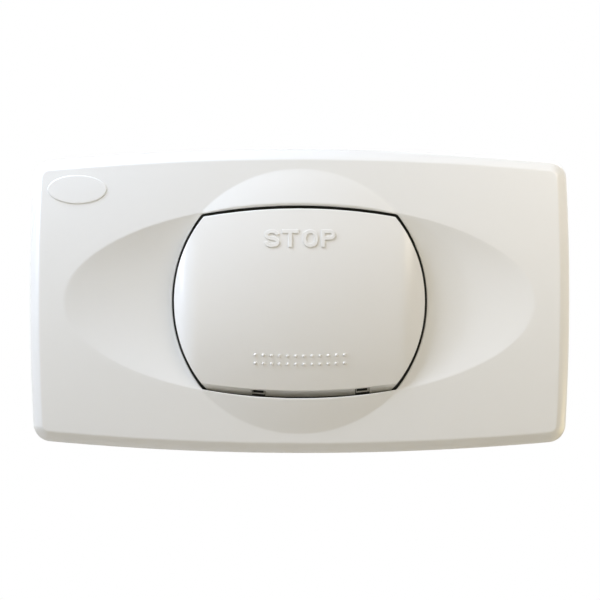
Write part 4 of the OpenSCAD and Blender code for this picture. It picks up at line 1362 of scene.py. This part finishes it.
@dataclass
class PushRod:
    """Return spring, threaded spindle and lock nut of one push rod."""

    name: str
    wire_r: float = 0.45
    wire_sides: int = 12
    turns: float = 3.5
    closed_turns: float = 0.5
    closed_lead: float = 0.8
    steps: int = 40
    thread: Thread = Thread()
    thread_fit: float = 0.3

    def spring(self) -> None:
        """Winds the return spring with closed ends between its two seats and hides the spring's node."""
        node = f"{self.name}_spring"
        box = NodeBox.of(node)
        total = self.turns + 2 * self.closed_turns
        turn = np.linspace(0, total, int(total * self.steps) + 1)[:, None]
        rise = box.far - box.near - 2 * self.wire_r
        lead = self.closed_turns * 2 * self.wire_r * self.closed_lead
        climb = np.interp(turn, [0, self.closed_turns, total - self.closed_turns, total],
                          [0, lead, rise - lead, rise])
        wire = full_turn(self.wire_sides)
        reach = box.width / 2 - self.wire_r + self.wire_r * np.cos(wire)
        height = box.near + self.wire_r + climb + self.wire_r * np.sin(wire)
        sketch = MeshSketch()
        sketch.body(circle(box.centre, reach, 2 * math.pi * turn, height))
        piece = sketch.make(f"{self.name}_coil", sharp_deg=60)
        piece.data.materials.append(STEEL.material())
        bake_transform(piece)
        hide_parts(node)
        log.info("%s: %d points, between wall_unit and %s_rod", piece.name, len(piece.data.vertices),
                 self.name)

    def build(self) -> None:
        """Builds the rod's fine pieces and sets the screw and nut on the rod's body."""
        self.spring()
        body, screw, nut = f"{self.name}_rod", MeshSketch(), MeshSketch()
        spindle, lock = NodeBox.of(f"{self.name}_spindle"), NodeBox.of(f"{self.name}_lock_nut")
        self.thread.cut(screw, spindle.centre, spindle.near, spindle.far, spindle.width / 2)
        fit(screw.make(f"{self.name}_screw", sharp_deg=30), body, BRASS, f"{self.name}_spindle")
        shape = HexNut(min(lock.width, lock.tall), spindle.width / 2 - self.thread_fit)
        shape.add(nut, lock.centre, lock.near, lock.far)
        fit(nut.make(f"{self.name}_hex_nut", sharp_deg=30), body, BRASS, f"{self.name}_lock_nut")


@dataclass
class WallFixing:
    """Two threaded wall studs with their nuts."""

    neck_h: float = -0.3
    neck_lap: float = 1.0
    wall_thread: Thread = Thread()
    front_thread: Thread = Thread(pitch=0.8, depth=0.4)
    front_r: float = 2.5
    thread_fit: float = 0.25

    def build(self) -> None:
        """Builds the studs and nuts and sets them on the wall unit."""
        mounts = {m["name"]: m for m in frame["record"]["mounts"]}
        dims = mounts["wall_studs"]["dims"]
        stud, nut = NodeBox.of("fixing_studs"), NodeBox.of("stud_nuts")
        shape = HexNut(nut.tall, self.front_r - self.thread_fit)
        studs, nuts = MeshSketch(), MeshSketch()
        for place in ((side * dims["spacing_x_mm"] / 2, 0.0) for side in (-1, 1)):
            self.wall_thread.cut(studs, place, stud.near, self.neck_h, dims["stud_r_mm"])
            self.front_thread.cut(studs, place, self.neck_h - self.neck_lap, stud.far, self.front_r)
            shape.add(nuts, place, nut.near, nut.far)
        fit(studs.make("threaded_studs", sharp_deg=30), "wall_unit", STEEL, "fixing_studs")
        fit(nuts.make("hex_stud_nuts", sharp_deg=30), "wall_unit", STEEL, "stud_nuts")


@dataclass(frozen=True)
class SoftenedNode:
    """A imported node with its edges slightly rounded, as moulding and turning leave them."""

    node: str
    edge: float = 0.2
    weld: float = 0.002
    flat_deg: float = 0.6
    sharp_deg: float = 35.0

    def trim(self, work: bmesh.types.BMesh) -> None:
        """Leaves the mesh as packed."""

    def build(self) -> None:
        """Rounds a copy of the node's mesh and sets it in the node's place."""
        record = frame["record"]
        body = next(b for b, names in record["behaviour"]["bodies"].items() if self.node in names)
        slot = next(s["material_slot"] for s in record["subparts"] if s["node"] == self.node)
        mesh = frame["nodes"][self.node].data.copy()
        work = bmesh.new()
        work.from_mesh(mesh)
        bmesh.ops.remove_doubles(work, verts=work.verts, dist=self.weld * MM)
        self.trim(work)
        bmesh.ops.dissolve_limit(work, angle_limit=math.radians(self.flat_deg), verts=work.verts,
                                 edges=work.edges)
        sharp = math.radians(self.sharp_deg)
        edges = [e for e in work.edges if len(e.link_faces) == 2 and e.calc_face_angle(0) > sharp]
        bmesh.ops.bevel(work, geom=edges, offset=self.edge * MM, segments=2, profile=0.5, affect="EDGES",
                        clamp_overlap=True)
        work.to_mesh(mesh)
        work.free()
        keep_flat(fit(finish_mesh(mesh, f"{self.node}_soft", sharp_deg=30), body, FINISHES[slot], self.node))


@dataclass(frozen=True)
class LatchedCarrier(SoftenedNode):
    """The key's carrier, with its tongues thinned and drawn in behind the latch loops."""

    tongue_v: float = -31.0
    end_v: float = -42.0
    tongue_front: float = 12.9
    end_back: float = 1.9
    end_drop: float = 2.2

    def trim(self, work: bmesh.types.BMesh) -> None:
        """Lowers the tongues' front faces and draws their ends in.

        Args:
            work: The carrier's mesh, in metres.
        """
        for point in work.verts:
            if point.co.z < self.tongue_v * MM:
                point.co.y = max(point.co.y, -self.tongue_front * MM)
            if point.co.z < self.end_v * MM:
                point.co.z += self.end_back * MM
                point.co.y += self.end_drop * MM


@dataclass(frozen=True)
class Lamp:
    """A round lamp that points at the plate's middle. Its power is in watts."""

    name: str
    place: Triple
    power: float
    size: float
    colour: RGB

    def hang(self) -> None:
        """Adds the lamp to the scene, hidden from the camera."""
        data = bpy.data.lights.new(self.name, "AREA")
        data.shape, data.size = "DISK", self.size
        data.energy, data.color = self.power, self.colour
        made = bpy.data.objects.new(self.name, data)
        made.location = self.place
        made.rotation_euler = (-Vector(self.place)).to_track_quat("-Z", "Y").to_euler()
        made.visible_camera = False
        bpy.context.scene.collection.objects.link(made)


DAYLIGHT = (0.73, 0.815, 1.0)
LAMPS = (
    Lamp("high_lamp", (-0.35, -0.163, 0.46), power=2.491, size=0.30, colour=DAYLIGHT),
    Lamp("near_lamp", (-0.19, -0.159, 0.248), power=0.446, size=0.20, colour=DAYLIGHT),
    Lamp("left_lamp", (-0.9, -0.25, 0.15), power=2.331, size=0.12, colour=DAYLIGHT),
    Lamp("right_lamp", (0.248, -0.174, 0.175), power=0.301, size=0.20, colour=(0.98, 0.963, 1.0)),
    Lamp("warm_lamp", (0.40, -0.40, 0.205), power=0.808, size=0.30, colour=(1.0, 0.90, 0.70)),
    Lamp("front_lamp", (-0.30, -0.52, 0.0), power=0.128, size=0.30, colour=(1.0, 0.89, 0.67)),
    Lamp("low_lamp", (0.5, 0.12, -0.2), power=0.52, size=0.30, colour=(1.0, 0.80, 0.40)),
    Lamp("back_lamp", (0.4, 0.8, 0.6), power=2.0, size=0.60, colour=(1.0, 1.0, 1.0)))


@dataclass
class Studio:
    """Camera at the photograph's angle, soft lamps, white surround and a pale floor."""

    target: Triple = (0.0003, -0.010, 0.0007)
    azimuth: float = 0.4
    elevation: float = 0.55
    distance: float = 1.1
    seen_width: float = 0.2992
    roll: float = 0.08
    floor_z: float = -0.30
    floor_r: float = 0.95
    floor_base: RGB = (0.88, 0.85, 0.80)
    floor_shade: RGB = (0.86, 0.83, 0.78)
    ambient: RGB = (0.172, 0.150, 0.103)

    def camera(self) -> None:
        """Sets the camera."""
        turn, climb = math.radians(self.azimuth), math.radians(self.elevation)
        target = Vector(self.target)
        place = target + self.distance * Vector(
            (math.cos(climb) * math.sin(turn), -math.cos(climb) * math.cos(turn), math.sin(climb)))
        data = bpy.data.cameras.new("camera")
        data.sensor_fit, data.sensor_width = "HORIZONTAL", 36.0
        data.lens = data.sensor_width * self.distance / self.seen_width
        data.clip_start, data.clip_end = 0.01, 20
        made = bpy.data.objects.new("camera", data)
        made.location = place
        facing = (target - place).to_track_quat("-Z", "Y").to_euler()
        facing.rotate_axis("Z", math.radians(self.roll))
        made.rotation_euler = facing
        bpy.context.scene.collection.objects.link(made)
        bpy.context.scene.camera = made

    def surround(self) -> None:
        """Makes the world: white where seen or mirrored, elsewhere a dim glow that fades to the right."""
        world = bpy.data.worlds.new("surround")
        bpy.context.scene.world = world
        world.use_nodes = True
        tree = world.node_tree
        direction = add_node(tree, "ShaderNodeTexCoord", {}).outputs["Generated"]
        across = add_node(tree, "ShaderNodeSeparateXYZ", {0: direction}).outputs["X"]
        falling = tuple(-tone for tone in self.ambient)
        glow = add_node(tree, "ShaderNodeVectorMath", {0: across, 1: falling, 2: self.ambient},
                        operation="MULTIPLY_ADD")
        dim = feed(tree.nodes["Background"], {"Color": glow.outputs[0]})
        white = add_node(tree, "ShaderNodeBackground", {"Color": (1, 1, 1, 1)})
        path = add_node(tree, "ShaderNodeLightPath", {}).outputs
        seen = path["Is Camera Ray"]
        for kind in ("Is Glossy Ray", "Is Transmission Ray"):
            seen = add_node(tree, "ShaderNodeMath", {0: seen, 1: path[kind]}, operation="MAXIMUM").outputs[0]
        mixed = add_node(tree, "ShaderNodeMixShader", {0: seen, 1: dim.outputs[0], 2: white.outputs[0]})
        feed(tree.nodes["World Output"], {"Surface": mixed.outputs[0]})

    def floor(self) -> None:
        """Lays a pale round floor well below the plate."""
        work = bmesh.new()
        bmesh.ops.create_circle(work, cap_ends=True, segments=96, radius=self.floor_r)
        mesh = bpy.data.meshes.new("floor")
        work.to_mesh(mesh)
        work.free()
        made = bpy.data.objects.new("floor", mesh)
        made.location.z = self.floor_z
        pale = bpy.data.materials.new("pale_floor")
        pale.use_nodes = True
        tone = Effect.TONE.lay(pale.node_tree, Base=(*self.floor_base, 1), Shade=(*self.floor_shade, 1),
                               Scale=3.0)
        feed(pale.node_tree.nodes["Principled BSDF"], {"Base Color": tone.outputs["Color"], "Roughness": 0.8})
        mesh.materials.append(pale)
        bpy.context.scene.collection.objects.link(made)

    def build(self) -> None:
        """Sets up the whole studio."""
        bpy.context.scene.view_settings.view_transform = "Standard"
        self.camera()
        for lamp in LAMPS:
            lamp.hang()
        self.surround()
        self.floor()


SOFTENED = ("mounting_frame", "guide_bridge", "bridge_screws", "flush_bush", "stop_bush", "left_axle_bush",
            "right_axle_bush", "stud_washers", "stop_buffers", "hinge_axle", "axle_clips", "pusher_pads",
            "flush_plunger", "flush_clip", "flush_tip", "stop_plunger", "stop_clip", "stop_tip")


def main() -> None:
    """Builds the plate, dresses every node and sets up the studio."""
    logging.basicConfig(level=logging.INFO, format="%(message)s")
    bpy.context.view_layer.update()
    for part in frame["record"]["subparts"]:
        node = frame["nodes"][part["node"]]
        node.data.materials.clear()
        node.data.materials.append(FINISHES[part["material_slot"]].material())
    CoverPlate().build()
    RockerKey().build()
    for name in ("flush", "stop"):
        PushRod(name).build()
    WallFixing().build()
    LatchedCarrier("key_carrier").build()
    for name in SOFTENED:
        SoftenedNode(name).build()
    Studio().build()


if __name__ == "__main__":
    main()
